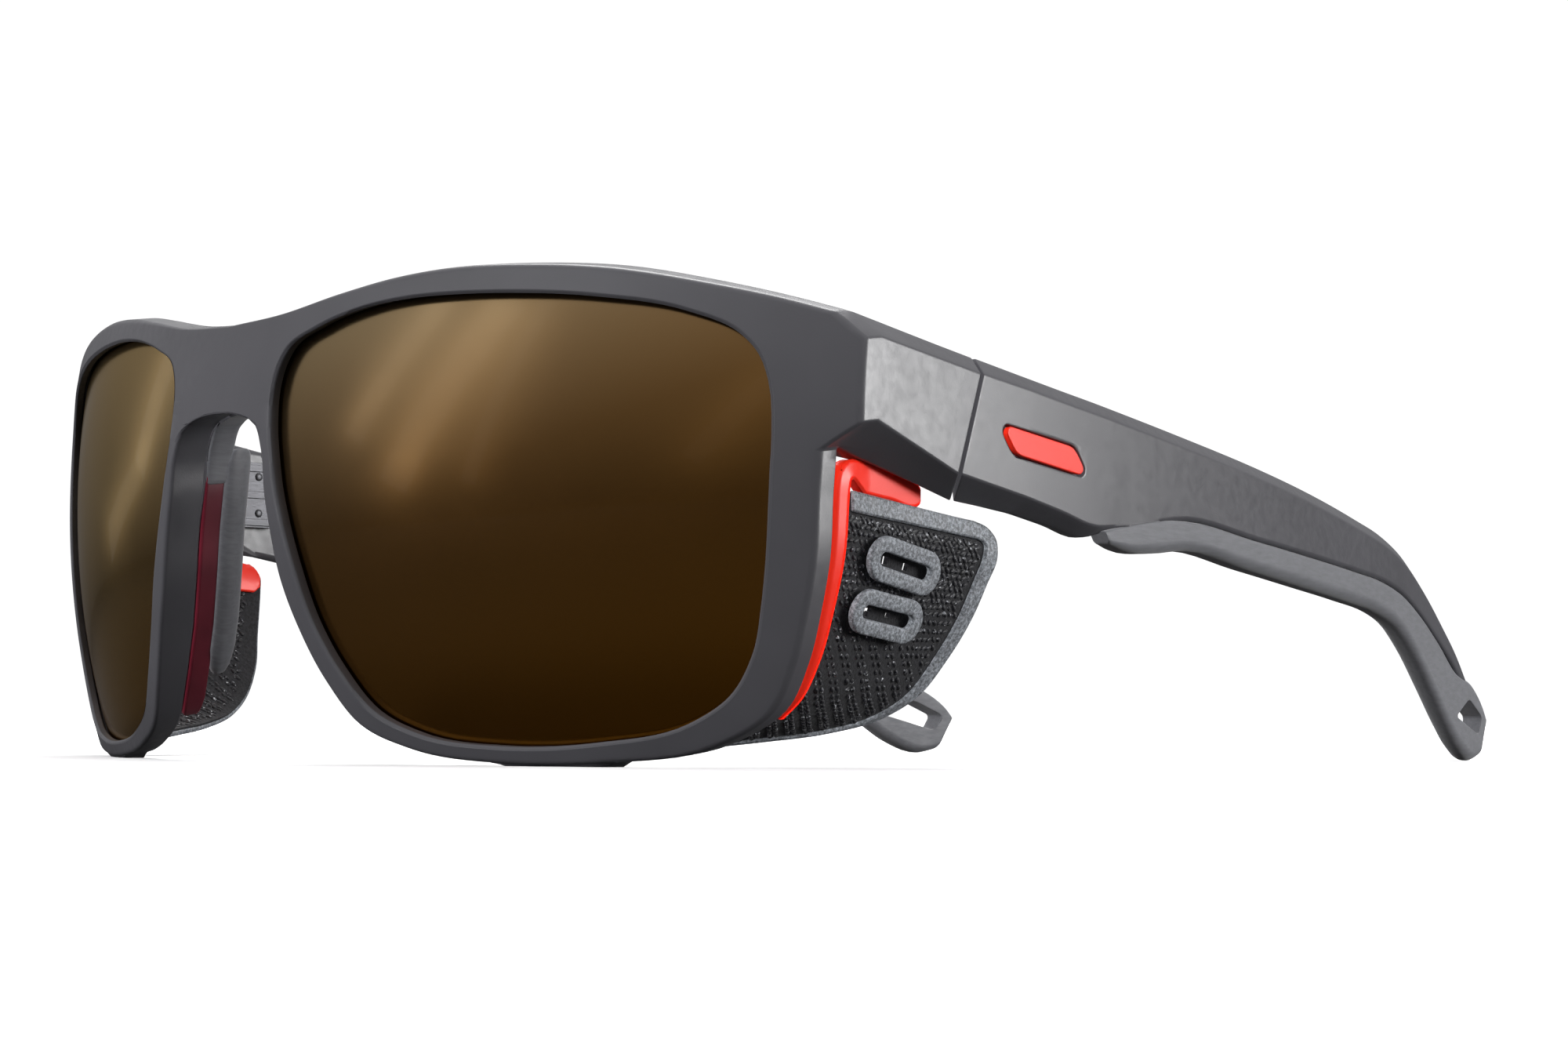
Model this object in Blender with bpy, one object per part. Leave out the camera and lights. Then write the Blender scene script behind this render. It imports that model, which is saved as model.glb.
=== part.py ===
"""Glacier glasses: wrap-around sunglasses with removable fabric side shields.

Units are millimetres while shapes are worked out, and metres in Blender.  The wearer looks along -Y,
the wearer's left is +X and +Z is up.  The glasses stand on the rims' lower edges and the temple tips,
with the origin at the middle of that footprint.  Every paired piece is worked out for the left side,
and mirrored for the right.
"""
import math

import bmesh
import bpy
import numpy as np

MM = 0.001

# ---- driving dimensions ------------------------------------------------------------------------
WRAP_RADIUS = 101.2          # horizontal radius of the front's curve
WRAP_QUARTIC = 0.87e-7       # how much faster the front curves away at its ends
CROWN_RADIUS = 83.9          # vertical radius of the front's curve
TILT = math.radians(8.05)    # how far the front leans, lower edge towards the face
BRIDGE_HEIGHT = 16.3         # height of the lens datum line above the table
DEPTH_CENTRE = 80.75         # from the front's datum to the middle of the footprint

EDGE_ROUND = 0.5
LENS_FRONT = 1.5             # how far the lens sits behind the rim's front
LENS_THICKNESS = 1.6
GROOVE_DEPTH = 1.2
GROOVE_PLAY = 0.2
REAR_LIP = 1.6               # least width of the rim's full-depth part
LENS_SEAT = 0.9              # how far the lens reaches into its groove
GAP = 0.3
SEAM_GAP = 0.4               # between the lug and the temple

FOOT_HALF_WIDTH = 5.5        # the flat that each rim stands on
FOOT_CENTRE = 40.4

TEMPLE_TOP_CHAMFER = 1.6
HINGE_X = 64.6
HINGE_Y = 43.3
KNUCKLE_RADIUS = 1.4
KNUCKLE_LEVELS = (29.6, 32.3, 32.6, 35.4, 35.7, 38.4)
PIN_RADIUS = 0.45
BORE_RADIUS = 0.65
ROUND_SIDES = 16

FABRIC_THICKNESS = 0.8
TRIM_THICKNESS = 1.3
TRIM_WIDTH_REAR = 2.0
TRIM_WIDTH_BELOW = 1.3
VENT_LENGTH = 10.8
VENT_WIDTH = 4.6
VENT_SLOT_LENGTH = 7.8
VENT_SLOT_WIDTH = 1.4
VENT_THICKNESS = 0.8
VENT_TILT = math.radians(-8.0)

# ---- rim outline -------------------------------------------------------------------------------
# One row for each station round the left lens, seen from the front: the lens opening's edge, then
# the frame's outer edge (across, up).  The frame's edge turns sharply at a corner row.
RIM_STATIONS = (
    ((10.9, 26.4), (0.0, 29.8), True),
    ((15.3, 28.4), (9.0, 30.3), False),
    ((20.4, 29.6), (17.5, 31.6), False),
    ((26.4, 30.1), (25.0, 32.5), False),
    ((32.1, 29.95), (32.0, 32.7), False),
    ((38.6, 29.4), (39.0, 32.2), False),
    ((47.2, 28.1), (48.3, 30.8), False),
    ((55.9, 25.7), (57.5, 28.2), False),
    ((60.7, 23.0), (63.6, 26.05), False),
    ((62.5, 20.7), (68.4, 24.0), True),
    ((63.4, 18.1), (70.9, 21.2), True),
    ((63.8, 13.4), (70.9, 13.2), True),
    ((63.75, 11.0), (67.8, 11.0), True),
    ((63.7, 10.2), (67.75, 10.0), False),
    ((63.5, 6.8), (67.5, 6.8), False),
    ((62.9, 0.6), (66.9, 0.4), False),
    ((62.2, -3.4), (65.8, -4.4), False),
    ((60.9, -8.1), (64.1, -9.6), False),
    ((58.4, -12.0), (61.6, -14.0), False),
    ((54.3, -14.5), (56.2, -17.0), False),
    ((45.3, -15.8), (45.6, -17.9), False),
    ((35.5, -15.6), (35.2, -17.4), False),
    ((26.3, -13.9), (24.9, -15.5), False),
    ((21.3, -11.3), (19.2, -12.8), False),
    ((18.0, -7.0), (15.8, -8.2), False),
    ((15.1, -1.5), (12.9, -2.4), False),
    ((13.3, 3.7), (10.9, 2.8), False),
    ((11.8, 8.4), (9.7, 7.8), False),
    ((10.7, 12.3), (8.8, 12.0), False),
    ((10.0, 15.7), (8.1, 16.4), False),
    ((9.6, 17.8), (6.8, 19.1), False),
    ((9.4, 19.6), (3.6, 20.3), False),
    ((9.3, 21.0), (0.0, 20.6), True),
    ((9.4, 22.9), (0.0, 23.6), True),
    ((9.9, 24.8), (0.0, 26.7), True),
)
LUG_FIRST = 9                # stations whose outer edge carries the lug
LUG_LAST = 12
# share of the lug's length, and how far its inner side has slimmed by then
LUG_SECTIONS = ((0.2, 0.6), (0.42, 1.0), (0.7, 1.0), (1.0, 1.0))
MIRROR_FIRST = 32            # stations that end on the mirror plane
RIM_SUBDIVISIONS = 2
CHAIN_COUNT = (LUG_LAST - LUG_FIRST) * RIM_SUBDIVISIONS + 1
LENS_CENTRE = (36.5, 7.5)

# depth of the rim front to back, depth of its outer wall, and width of the step between them
RIM_DEPTHS = (
    (0, 3.9, 3.5, 0.5), (6, 3.9, 3.2, 0.5), (8, 3.9, 2.3, 0.5), (9, 3.9, 2.3, 9.0),
    (12, 3.9, 2.3, 9.0), (12.5, 3.9, 2.3, 1.75), (18.5, 3.9, 2.3, 1.75), (20, 3.9, 3.2, 0.5),
    (23, 3.9, 3.4, 0.5), (25, 4.9, 4.4, 0.5), (29, 4.9, 4.4, 0.5), (32, 4.4, 4.0, 0.5),
    (35, 3.9, 3.5, 0.5))

# ---- temple and grip, seen from the side -------------------------------------------------------
# upper edge (back, up), lower edge (back, up), lower chamfer's height and inset, thickness
TEMPLE_STATIONS = (
    ((51.1, 39.9), (50.3, 25.9), 1.5, 2.6, 3.35),
    ((57.8, 38.9), (56.4, 24.9), 1.3, 2.1, 3.4),
    ((64.2, 38.0), (62.4, 23.9), 1.1, 1.6, 3.5),
    ((67.6, 37.5), (66.0, 24.8), 0.4, 0.4, 3.6),
    ((80.6, 35.6), (79.6, 26.35), 0.4, 0.4, 3.5),
    ((96.3, 33.3), (94.2, 24.95), 0.4, 0.4, 3.4),
    ((109.6, 31.1), (107.4, 23.65), 0.4, 0.4, 3.3),
    ((121.5, 28.8), (118.9, 22.5), 0.4, 0.4, 3.3),
    ((129.2, 27.1), (127.4, 21.5), 0.4, 0.4, 3.2),
    ((134.6, 25.2), (132.6, 20.3), 0.4, 0.4, 3.2),
    ((140.4, 22.0), (138.0, 18.1), 0.4, 0.4, 3.1),
    ((146.6, 17.9), (144.6, 14.6), 0.4, 0.4, 3.0),
    ((151.8, 14.2), (149.8, 11.6), 0.4, 0.4, 2.9),
)
# grip's upper edge, which meets the temple, and its lower edge, then its thickness
GRIP_STATIONS = (
    ((64.4, 23.9), (64.9, 23.3), 2.2),
    ((66.2, 24.45), (68.4, 22.7), 3.4),
    ((73.2, 25.3), (74.6, 22.7), 3.8),
    ((80.0, 26.0), (80.4, 23.2), 3.8),
    ((94.0, 24.6), (93.4, 21.7), 3.7),
    ((107.2, 23.3), (106.6, 20.2), 3.6),
    ((118.6, 22.15), (117.6, 19.0), 3.5),
    ((127.2, 21.15), (126.0, 17.9), 3.4),
    ((132.4, 19.95), (131.0, 16.5), 3.3),
    ((137.8, 17.75), (136.4, 13.4), 3.2),
    ((144.4, 14.25), (142.6, 8.6), 3.1),
    ((150.4, 10.7), (147.8, 4.4), 3.0),
    ((155.9, 9.4), (152.2, 1.5), 3.0),
    ((160.4, 6.6), (157.0, 0.0), 2.9),
    ((161.9, 5.0), (159.6, 0.5), 2.7),
)
CORD_SLOT = ((150.6, 5.6), (155.3, 7.8), (160.2, 5.5), (158.9, 3.3))

# ---- hinge side of the lug and temple, seen from behind ----------------------------------------
# outer chain from the top, then the inner chain from the bottom (across, up)
SEAM_OUTER = ((68.7, 41.05), (70.3, 39.3), (70.5, 29.1), (67.4, 26.6))
SEAM_INNER = ((66.4, 28.2), (66.4, 30.2), (66.4, 39.4), (66.7, 41.05))

# ---- side shield -------------------------------------------------------------------------------
# front edge on the rim (across, up), and the rear edge (across, back, up)
SHIELD_STATIONS = (
    ((66.8, 6.9), (65.3, 47.0, 24.85)),
    ((66.75, 6.2), (65.2, 49.2, 24.3)),
    ((66.7, 5.2), (65.3, 50.4, 23.1)),
    ((66.6, 3.6), (65.4, 50.5, 21.6)),
    ((65.9, -0.8), (64.6, 49.8, 18.8)),
    ((65.0, -4.5), (63.6, 48.9, 15.7)),
    ((63.3, -9.2), (61.6, 47.3, 11.4)),
    ((60.8, -13.2), (59.8, 44.6, 7.4)),
    ((58.2, -15.0), (58.2, 41.5, 5.4)),
    ((55.3, -16.0), (56.0, 36.5, 4.0)),
    ((52.0, -16.6), (53.3, 30.5, 3.2)),
    ((49.4, -16.8), (50.6, 25.2, 2.6)),
)
SHIELD_FRONT = 4.75          # how far behind the front's face the shield starts
TRIM_INSET_TOP = 2.2         # stations that the trim covers below the shield's top edge
# trim: outer edge, then inner edge, as (station, share of the way back)
TRIM_CORNER = ((0.0, 0.9, 2.2, 0.87), (0.0, 1.0, 2.3, 0.9), (1.0, 1.0, 2.42, 0.915),
               (2.0, 1.0, 2.6, 0.918))
VENT_PLACES = ((3.72, 0.37), (5.07, 0.335))

# clip: vertical bar along the rim as (across, up, depth at its rear, width)
CLIP_BAR = ((60.4, -14.9, 3.1, 0.7), (62.4, -12.9, 3.3, 1.2), (64.1, -9.6, 3.6, 1.5),
            (65.8, -4.4, 3.9, 1.5), (66.9, 0.4, 4.15, 1.5), (67.5, 6.4, 4.3, 1.5),
            (67.7, 8.1, 4.35, 1.5))
CLIP_FRONT = 2.6
CLIP_PROUD = 0.1
CLIP_CORNER = ((67.8, 9.5), (67.8, 8.1))     # where the bar meets the arm, top and bottom
CLIP_ARM_X = ((27.0, 50.0), (67.3, 64.9))    # the arm's outer face: back, then across
CLIP_CENTRE = ((36.0, 8.0), -8.0)            # the bar's sections point here below this height
# clip: top bar as (back, top, bottom)
CLIP_TOP = ((30.6, 28.9, 27.6), (34.6, 28.4, 27.05), (38.9, 27.8, 26.45))

EMBLEM = ((47.6, 34.4), (47.2, 33.6), (48.6, 31.9), (49.4, 31.5), (59.6, 30.1), (60.2, 30.8),
          (58.8, 32.5), (58.0, 33.0))
EMBLEM_RECESS = 0.8
EMBLEM_PROUD = 0.15
EMBLEM_PLAY = 0.25

# ---- materials: colour, roughness, metallic ----------------------------------------------------
FINISHES = {
    "frame": ((0.085, 0.085, 0.095), 0.45, 0.0),
    "lens": ((0.16, 0.09, 0.02), 0.08, 0.6),
    "rubber": ((0.10, 0.10, 0.11), 0.7, 0.0),
    "pad_base": ((0.16, 0.02, 0.035), 0.5, 0.0),
    "red": ((0.75, 0.03, 0.015), 0.35, 0.0),
    "fabric": ((0.02, 0.02, 0.022), 0.9, 0.0),
    "trim": ((0.17, 0.18, 0.19), 0.75, 0.0),
    "steel": ((0.6, 0.6, 0.62), 0.3, 1.0),
}


# ---- curves and places -------------------------------------------------------------------------
def on_front(u, v, w):
    """A place given across, up and behind the front's curved face."""
    sag = u * u / (2 * WRAP_RADIUS) + WRAP_QUARTIC * u ** 4 + v * v / (2 * CROWN_RADIUS) + w
    y = sag * math.cos(TILT) - v * math.sin(TILT) - DEPTH_CENTRE
    z = v * math.cos(TILT) + sag * math.sin(TILT) + BRIDGE_HEIGHT
    return np.array((u, y, z))


def smooth_tangents(points, closed):
    """Slopes per millimetre of a smooth curve at its points."""
    count = len(points)
    slopes = []
    for i in range(count):
        before = points[i - 1] if closed or i > 0 else None
        after = points[(i + 1) % count] if closed or i < count - 1 else None
        if before is None:
            step = after - points[i]
            slopes.append(step / np.linalg.norm(step))
        elif after is None:
            step = points[i] - before
            slopes.append(step / np.linalg.norm(step))
        else:
            back = np.linalg.norm(points[i] - before)
            ahead = np.linalg.norm(after - points[i])
            slope = (points[i] - before) / back * ahead + (after - points[i]) / ahead * back
            slopes.append(slope / (back + ahead))
    return slopes


def smooth_curve(points, steps, closed=False):
    """The points with a few more between each two, on a smooth curve."""
    points = [np.array(p, float) for p in points]
    slopes = smooth_tangents(points, closed)
    result = []
    spans = len(points) if closed else len(points) - 1
    for i in range(spans):
        start = points[i]
        end = points[(i + 1) % len(points)]
        length = np.linalg.norm(end - start)
        for step in range(steps):
            t = step / steps
            result.append(start * (2 * t ** 3 - 3 * t ** 2 + 1) + end * (3 * t ** 2 - 2 * t ** 3)
                          + slopes[i] * length * (t ** 3 - 2 * t ** 2 + t)
                          + slopes[(i + 1) % len(points)] * length * (t ** 3 - t ** 2))
    if not closed:
        result.append(points[-1])
    return result


def cornered_curve(points, corners, steps):
    """A closed curve that is smooth between its corners."""
    count = len(points)
    stops = [i for i in range(count) if corners[i]]
    result = []
    for here, there in zip(stops, stops[1:] + [stops[0] + count]):
        stretch = [points[i % count] for i in range(here, there + 1)]
        result.extend(smooth_curve(stretch, steps)[:-1])
    return result


def temple_face(back):
    """How far out the temple's outer face is; it bows in towards the head."""
    reach = back - 27.0
    return 71.0 - 0.025 * reach - 0.00105 * reach * reach


def seam_back(x, z):
    """How far back the seam between lug and temple lies."""
    above = max(z - 34.1, 0.0)
    below = max(34.1 - z, 0.0)
    return 42.6 + 0.19 * above - 0.5 * below + 0.14 * below * (70.5 - x)


def from_front(x, back, z):
    """A place given across, back from the front's datum and up."""
    return np.array((x, back - DEPTH_CENTRE, z))


# ---- meshes ------------------------------------------------------------------------------------
def closed_mesh(name, points, faces):
    """A mesh in metres whose faces point out."""
    shape = bmesh.new()
    verts = [shape.verts.new(tuple(p * MM)) for p in points]
    for face in faces:
        shape.faces.new([verts[i] for i in face])
    bmesh.ops.remove_doubles(shape, verts=shape.verts, dist=1e-6)
    bmesh.ops.recalc_face_normals(shape, faces=shape.faces)
    mesh = bpy.data.meshes.new(name)
    shape.to_mesh(mesh)
    shape.free()
    return mesh


def chain_cap(ring):
    """Triangles that close a loop made of an outer chain and an inner chain of one length."""
    half = len(ring) // 2
    faces = []
    for i in range(half - 1):
        a, b = ring[i], ring[i + 1]
        c, d = ring[-2 - i], ring[-1 - i]
        faces.append((a, b, c))
        if c != b:
            faces.append((a, c, d))
    return faces


def loft(name, sections, chained=False):
    """A closed mesh through sections of equal point counts, with closed ends."""
    size = len(sections[0])
    points = [p for section in sections for p in section]
    ends = (list(range(size)), list(range(len(points) - size, len(points))))
    faces = []
    for ring in ends:
        faces.extend(chain_cap(ring) if chained else [tuple(ring)])
    for row in range(len(sections) - 1):
        for k in range(size):
            a = row * size + k
            b = row * size + (k + 1) % size
            faces.append((a, b, b + size, a + size))
    return closed_mesh(name, points, faces)


def prism(name, outline, low, high):
    """An upright prism over a flat outline."""
    return loft(name, [[np.array((x, y, z)) for x, y in outline] for z in (low, high)])


def circle(centre, radius, sides=ROUND_SIDES):
    return [(centre[0] + radius * math.cos(2 * math.pi * i / sides),
             centre[1] + radius * math.sin(2 * math.pi * i / sides)) for i in range(sides)]


def mirrored(mesh, name):
    """The same shape for the right side."""
    shape = bmesh.new()
    shape.from_mesh(mesh)
    for vert in shape.verts:
        vert.co.x = -vert.co.x
    bmesh.ops.reverse_faces(shape, faces=shape.faces)
    result = bpy.data.meshes.new(name)
    shape.to_mesh(result)
    shape.free()
    return result


def combine(mesh, tools, operation):
    """The mesh after each tool is joined to it or cut from it."""
    for tool in tools:
        body = bpy.data.objects.new("body", mesh)
        other = bpy.data.objects.new("tool", tool)
        bpy.context.collection.objects.link(body)
        bpy.context.collection.objects.link(other)
        boolean = body.modifiers.new("boolean", "BOOLEAN")
        boolean.operation = operation
        boolean.object = other
        evaluated = body.evaluated_get(bpy.context.evaluated_depsgraph_get())
        mesh = bpy.data.meshes.new_from_object(evaluated)
        bpy.data.objects.remove(body)
        bpy.data.objects.remove(other)
    return mesh


def material(finish):
    """A plain material with the part's colour."""
    if finish in bpy.data.materials:
        return bpy.data.materials[finish]
    colour, roughness, metallic = FINISHES[finish]
    made = bpy.data.materials.new(finish)
    made.use_nodes = True
    shader = made.node_tree.nodes["Principled BSDF"]
    shader.inputs["Base Color"].default_value = (*colour, 1.0)
    shader.inputs["Roughness"].default_value = roughness
    shader.inputs["Metallic"].default_value = metallic
    made.diffuse_color = (*colour, 1.0)
    return made


def place(name, mesh, finish, pivot=None):
    """Add a named piece, with its origin on its joint's axis if it moves."""
    origin = np.zeros(3) if pivot is None else np.array(pivot) * MM
    shape = bmesh.new()
    shape.from_mesh(mesh)
    bmesh.ops.translate(shape, vec=tuple(-origin), verts=shape.verts)
    own = bpy.data.meshes.new(name)
    shape.to_mesh(own)
    shape.free()
    own.materials.clear()
    own.materials.append(material(finish))
    piece = bpy.data.objects.new(name, own)
    piece.location = tuple(origin)
    bpy.context.collection.objects.link(piece)
    return piece


def place_pair(stem, mesh, finish, pivot=None):
    """Add a piece for the left side, and its mirror image for the right."""
    place(stem + "_left", mesh, finish, pivot)
    other = None if pivot is None else (-pivot[0], pivot[1], pivot[2])
    place(stem + "_right", mirrored(mesh, stem), finish, other)


# ---- front frame and lenses --------------------------------------------------------------------
def rim_rows():
    """The opening's edge and the frame's outer edge at every station, on one count."""
    inner = smooth_curve([row[0] for row in RIM_STATIONS], RIM_SUBDIVISIONS, closed=True)
    outer = cornered_curve([row[1] for row in RIM_STATIONS], [row[2] for row in RIM_STATIONS],
                           RIM_SUBDIVISIONS)
    return inner, outer


def rim_depths(station):
    """Depth of the rim, depth of its outer wall and width of the step between them."""
    places = [row[0] for row in RIM_DEPTHS]
    return [np.interp(station, places, [row[k] for row in RIM_DEPTHS]) for k in (1, 2, 3)]


def rim_section(station, inner, outer):
    """The rim's cross-section at a station: points round it as (across, up, behind)."""
    width = np.linalg.norm(outer - inner)
    out = (outer - inner) / width
    depth, wall, step = rim_depths(station)
    on_mirror = station > MIRROR_FIRST
    edge = EDGE_ROUND if not on_mirror else 0.0
    groove_front = LENS_FRONT - GROOVE_PLAY
    groove_back = LENS_FRONT + LENS_THICKNESS + GROOVE_PLAY
    rear = max(REAR_LIP, width - step)
    profile = ((0.0, 0.35), (0.35, 0.0), (width / 3, 0.0), (width * 2 / 3, 0.0),
               (width - EDGE_ROUND, 0.0), (width, edge), (width, wall), (rear + 0.05, wall),
               (rear, depth), (0.3, depth), (0.0, depth - 0.3), (0.0, groove_back),
               (GROOVE_DEPTH, groove_back), (GROOVE_DEPTH, groove_front), (0.0, groove_front))
    return [(*(inner + out * s), w) for s, w in profile]


WALL_FRONT = 5               # places of the outer wall's edges in a rim section
WALL_REAR = 6


def front_half():
    """Points and faces of the frame's left half, open where it meets the right half."""
    inner, outer = rim_rows()
    count = len(inner)
    points = []
    for i in range(count):
        section = rim_section(i / RIM_SUBDIVISIONS, inner[i], outer[i])
        for k, (u, v, w) in enumerate(section):
            point = on_front(u, v, w)
            on_foot = abs(u - FOOT_CENTRE) < FOOT_HALF_WIDTH and v < 0
            if on_foot and k in (WALL_FRONT, WALL_REAR):
                point[2] = 0.0
            points.append(point)
    size = len(points) // count
    lug = range(LUG_FIRST * RIM_SUBDIVISIONS, LUG_LAST * RIM_SUBDIVISIONS)
    mirror = range(MIRROR_FIRST * RIM_SUBDIVISIONS, count)
    faces = []
    for i in range(count):
        j = (i + 1) % count
        for k in range(size):
            if (k == WALL_REAR and i in lug) or (k == WALL_FRONT and i in mirror):
                continue
            n = (k + 1) % size
            faces.append((i * size + k, i * size + n, j * size + n, j * size + k))
    add_lug(points, faces, size, lug)
    return points, faces


def along(chain, share):
    """A point part of the way along a chain of points, each span taking an equal share."""
    reach = share * (len(chain) - 1)
    first = min(int(reach), len(chain) - 2)
    return np.array(chain[first]) + (np.array(chain[first + 1]) - np.array(chain[first])) * (reach - first)


def chain_points(chain, count):
    """A number of points along a chain, from its first to its last."""
    return [along(chain, i / (count - 1)) for i in range(count)]


def seam_section(play):
    """The lug's end, or the temple's start: points down the outer chain, then up the inner one."""
    loop = []
    for chain in (SEAM_OUTER, SEAM_INNER):
        corners = [from_front(x, seam_back(x, z) + play, z) for x, z in chain]
        loop += chain_points(corners, CHAIN_COUNT)
    return loop


def add_lug(points, faces, size, lug):
    """Extend the frame's outer rear corner back to the temple's seam."""
    stations = list(lug) + [lug[-1] + 1]
    loop = [i * size + WALL_REAR for i in stations]
    loop += [i * size + WALL_REAR + 1 for i in reversed(stations)]
    start = [points[i] for i in loop]
    end = seam_section(-SEAM_GAP / 2)
    for share, slimming in LUG_SECTIONS:
        first = len(points)
        for k, (a, b) in enumerate(zip(start, end)):
            point = a + (b - a) * share
            if k >= len(stations):
                point[0] = a[0] + (b[0] - a[0]) * slimming
            points.append(point)
        ring = list(range(first, first + len(loop)))
        for k in range(len(loop)):
            n = (k + 1) % len(loop)
            faces.append((loop[k], loop[n], ring[n], ring[k]))
        loop = ring
    faces.extend(chain_cap(loop))


def build_front():
    """The one-piece frame front: two rims, the bridge and both lugs."""
    points, faces = front_half()
    count = len(points)
    points = points + [p * np.array((-1, 1, 1)) for p in points]
    faces = faces + [tuple(i + count for i in reversed(face)) for face in faces]
    place("front_frame", closed_mesh("front_frame", points, faces), "frame")


def build_lenses():
    """A curved lens for each rim, seated in the rim's groove."""
    inner, outer = rim_rows()
    centre = np.array(LENS_CENTRE)
    rings = (1.0, 0.75, 0.5, 0.25)
    edge = [a + (b - a) / np.linalg.norm(b - a) * LENS_SEAT for a, b in zip(inner, outer)]
    points = []
    faces = []
    for depth in (LENS_FRONT, LENS_FRONT + LENS_THICKNESS):
        base = len(points)
        for share in rings:
            points.extend(on_front(*(centre + (p - centre) * share), depth) for p in edge)
        points.append(on_front(*centre, depth))
        tip = len(points) - 1
        for i in range(len(edge)):
            j = (i + 1) % len(edge)
            for ring in range(len(rings) - 1):
                a = base + ring * len(edge)
                faces.append((a + i, a + j, a + len(edge) + j, a + len(edge) + i))
            last = base + (len(rings) - 1) * len(edge)
            faces.append((last + i, last + j, tip))
    back = len(points) // 2
    faces.extend((i, (i + 1) % len(edge), back + (i + 1) % len(edge), back + i)
                 for i in range(len(edge)))
    place_pair("lens", closed_mesh("lens", points, faces), "lens")


# ---- nose pads ---------------------------------------------------------------------------------
def nose_strip(name, first, last, profile):
    """A strip along the rim's nose side; its profile is given from the rim's outer rear edge."""
    inner, outer = rim_rows()
    sections = []
    for i in range(first * RIM_SUBDIVISIONS, last * RIM_SUBDIVISIONS + 1):
        out = (outer[i] - inner[i]) / np.linalg.norm(outer[i] - inner[i])
        depth = rim_depths(i / RIM_SUBDIVISIONS)[0]
        end = min(i - first * RIM_SUBDIVISIONS, last * RIM_SUBDIVISIONS - i)
        fullness = 0.55 if end == 0 else 1.0
        middle = np.mean(np.array(profile), axis=0)
        section = []
        for spot in profile:
            s, w = middle + (np.array(spot) - middle) * fullness
            section.append(on_front(*(outer[i] + out * s), depth + w))
        sections.append(section)
    return loft(name, sections)


def build_nose_pads():
    """A wine-red carrier behind each rim's nose side, and the soft pad that it holds."""
    carrier = ((-0.2, 0.3), (-0.2, 1.8), (-1.7, 1.8), (-1.7, 0.3))
    pad = ((-0.9, 2.1), (0.3, 2.1), (0.9, 2.9), (0.7, 4.0), (-0.4, 5.2), (-1.8, 6.2), (-2.7, 6.1),
           (-2.4, 5.2), (-1.2, 3.9))
    place_pair("nose_pad_base", nose_strip("nose_pad_base", 24, 29, carrier), "pad_base")
    place_pair("nose_pad", nose_strip("nose_pad", 24, 30, pad), "rubber")


# ---- temples -----------------------------------------------------------------------------------
def temple_section(station):
    """The temple's cross-section at a station, in the seam's order."""
    top, bottom, chamfer, inset, thickness = station
    top = np.array(top)
    bottom = np.array(bottom)
    height = np.linalg.norm(top - bottom)
    up = (top - bottom) / height
    profile = ((-1.4, height), (0.0, height - TEMPLE_TOP_CHAMFER), (0.0, chamfer), (-inset, 0.0),
               (-thickness + 0.4, 0.0), (-thickness, 0.6), (-thickness, height - 0.7),
               (-thickness + 0.5, height))
    corners = []
    for x, rise in profile:
        back, z = bottom + up * rise
        corners.append(from_front(temple_face(back) + x, back, z))
    return chain_points(corners[:4], CHAIN_COUNT) + chain_points(corners[4:], CHAIN_COUNT)


def build_temples():
    """Each temple arm from the seam to its tip, with a recess for the emblem."""
    sections = [seam_section(SEAM_GAP / 2)]
    for station in TEMPLE_STATIONS:
        sections.append(temple_section(station))
    arm = loft("temple", sections, chained=True)
    recess = emblem_plate("recess", EMBLEM_PLAY, -EMBLEM_RECESS, 1.0)
    place_pair("temple", combine(arm, [recess], "DIFFERENCE"), "frame", hinge_pivot())
    inlay = emblem_plate("emblem", 0.0, -EMBLEM_RECESS + EMBLEM_PLAY, EMBLEM_PROUD)
    place_pair("emblem", inlay, "red", hinge_pivot())


def emblem_plate(name, margin, low, high):
    """A slanted plate that follows the temple's outer face, between two heights above it."""
    middle = np.mean(np.array(EMBLEM), axis=0)
    sections = []
    for height in (low, high):
        section = []
        for spot in EMBLEM:
            step = np.array(spot) - middle
            back, z = middle + step * (1 + margin / np.linalg.norm(step) * 2)
            section.append(from_front(temple_face(back) + height, back, z))
        sections.append(section)
    return loft(name, sections)


def build_grips():
    """The soft grip under each temple, with the cord slot through its tip."""
    sections = []
    for top, bottom, thickness in GRIP_STATIONS:
        top = np.array(top)
        bottom = np.array(bottom)
        height = np.linalg.norm(top - bottom)
        up = (top - bottom) / height
        round_over = min(0.9, height * 0.35)
        profile = ((0.05, height), (0.05, round_over), (-round_over, 0.0),
                   (-thickness + round_over, 0.0), (-thickness, round_over), (-thickness, height))
        section = []
        for x, rise in profile:
            back, z = bottom + up * rise
            section.append(from_front(temple_face(back) + x, back, max(z, 0.0)))
        sections.append(section)
    grip = loft("grip", sections)
    slot = loft("slot", [[from_front(x, back, z) for back, z in CORD_SLOT] for x in (35.0, 65.0)])
    place_pair("temple_grip", combine(grip, [slot], "DIFFERENCE"), "rubber", hinge_pivot())


# ---- hinges ------------------------------------------------------------------------------------
def hinge_pivot():
    return (HINGE_X, HINGE_Y - DEPTH_CENTRE, KNUCKLE_LEVELS[0])


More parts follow.
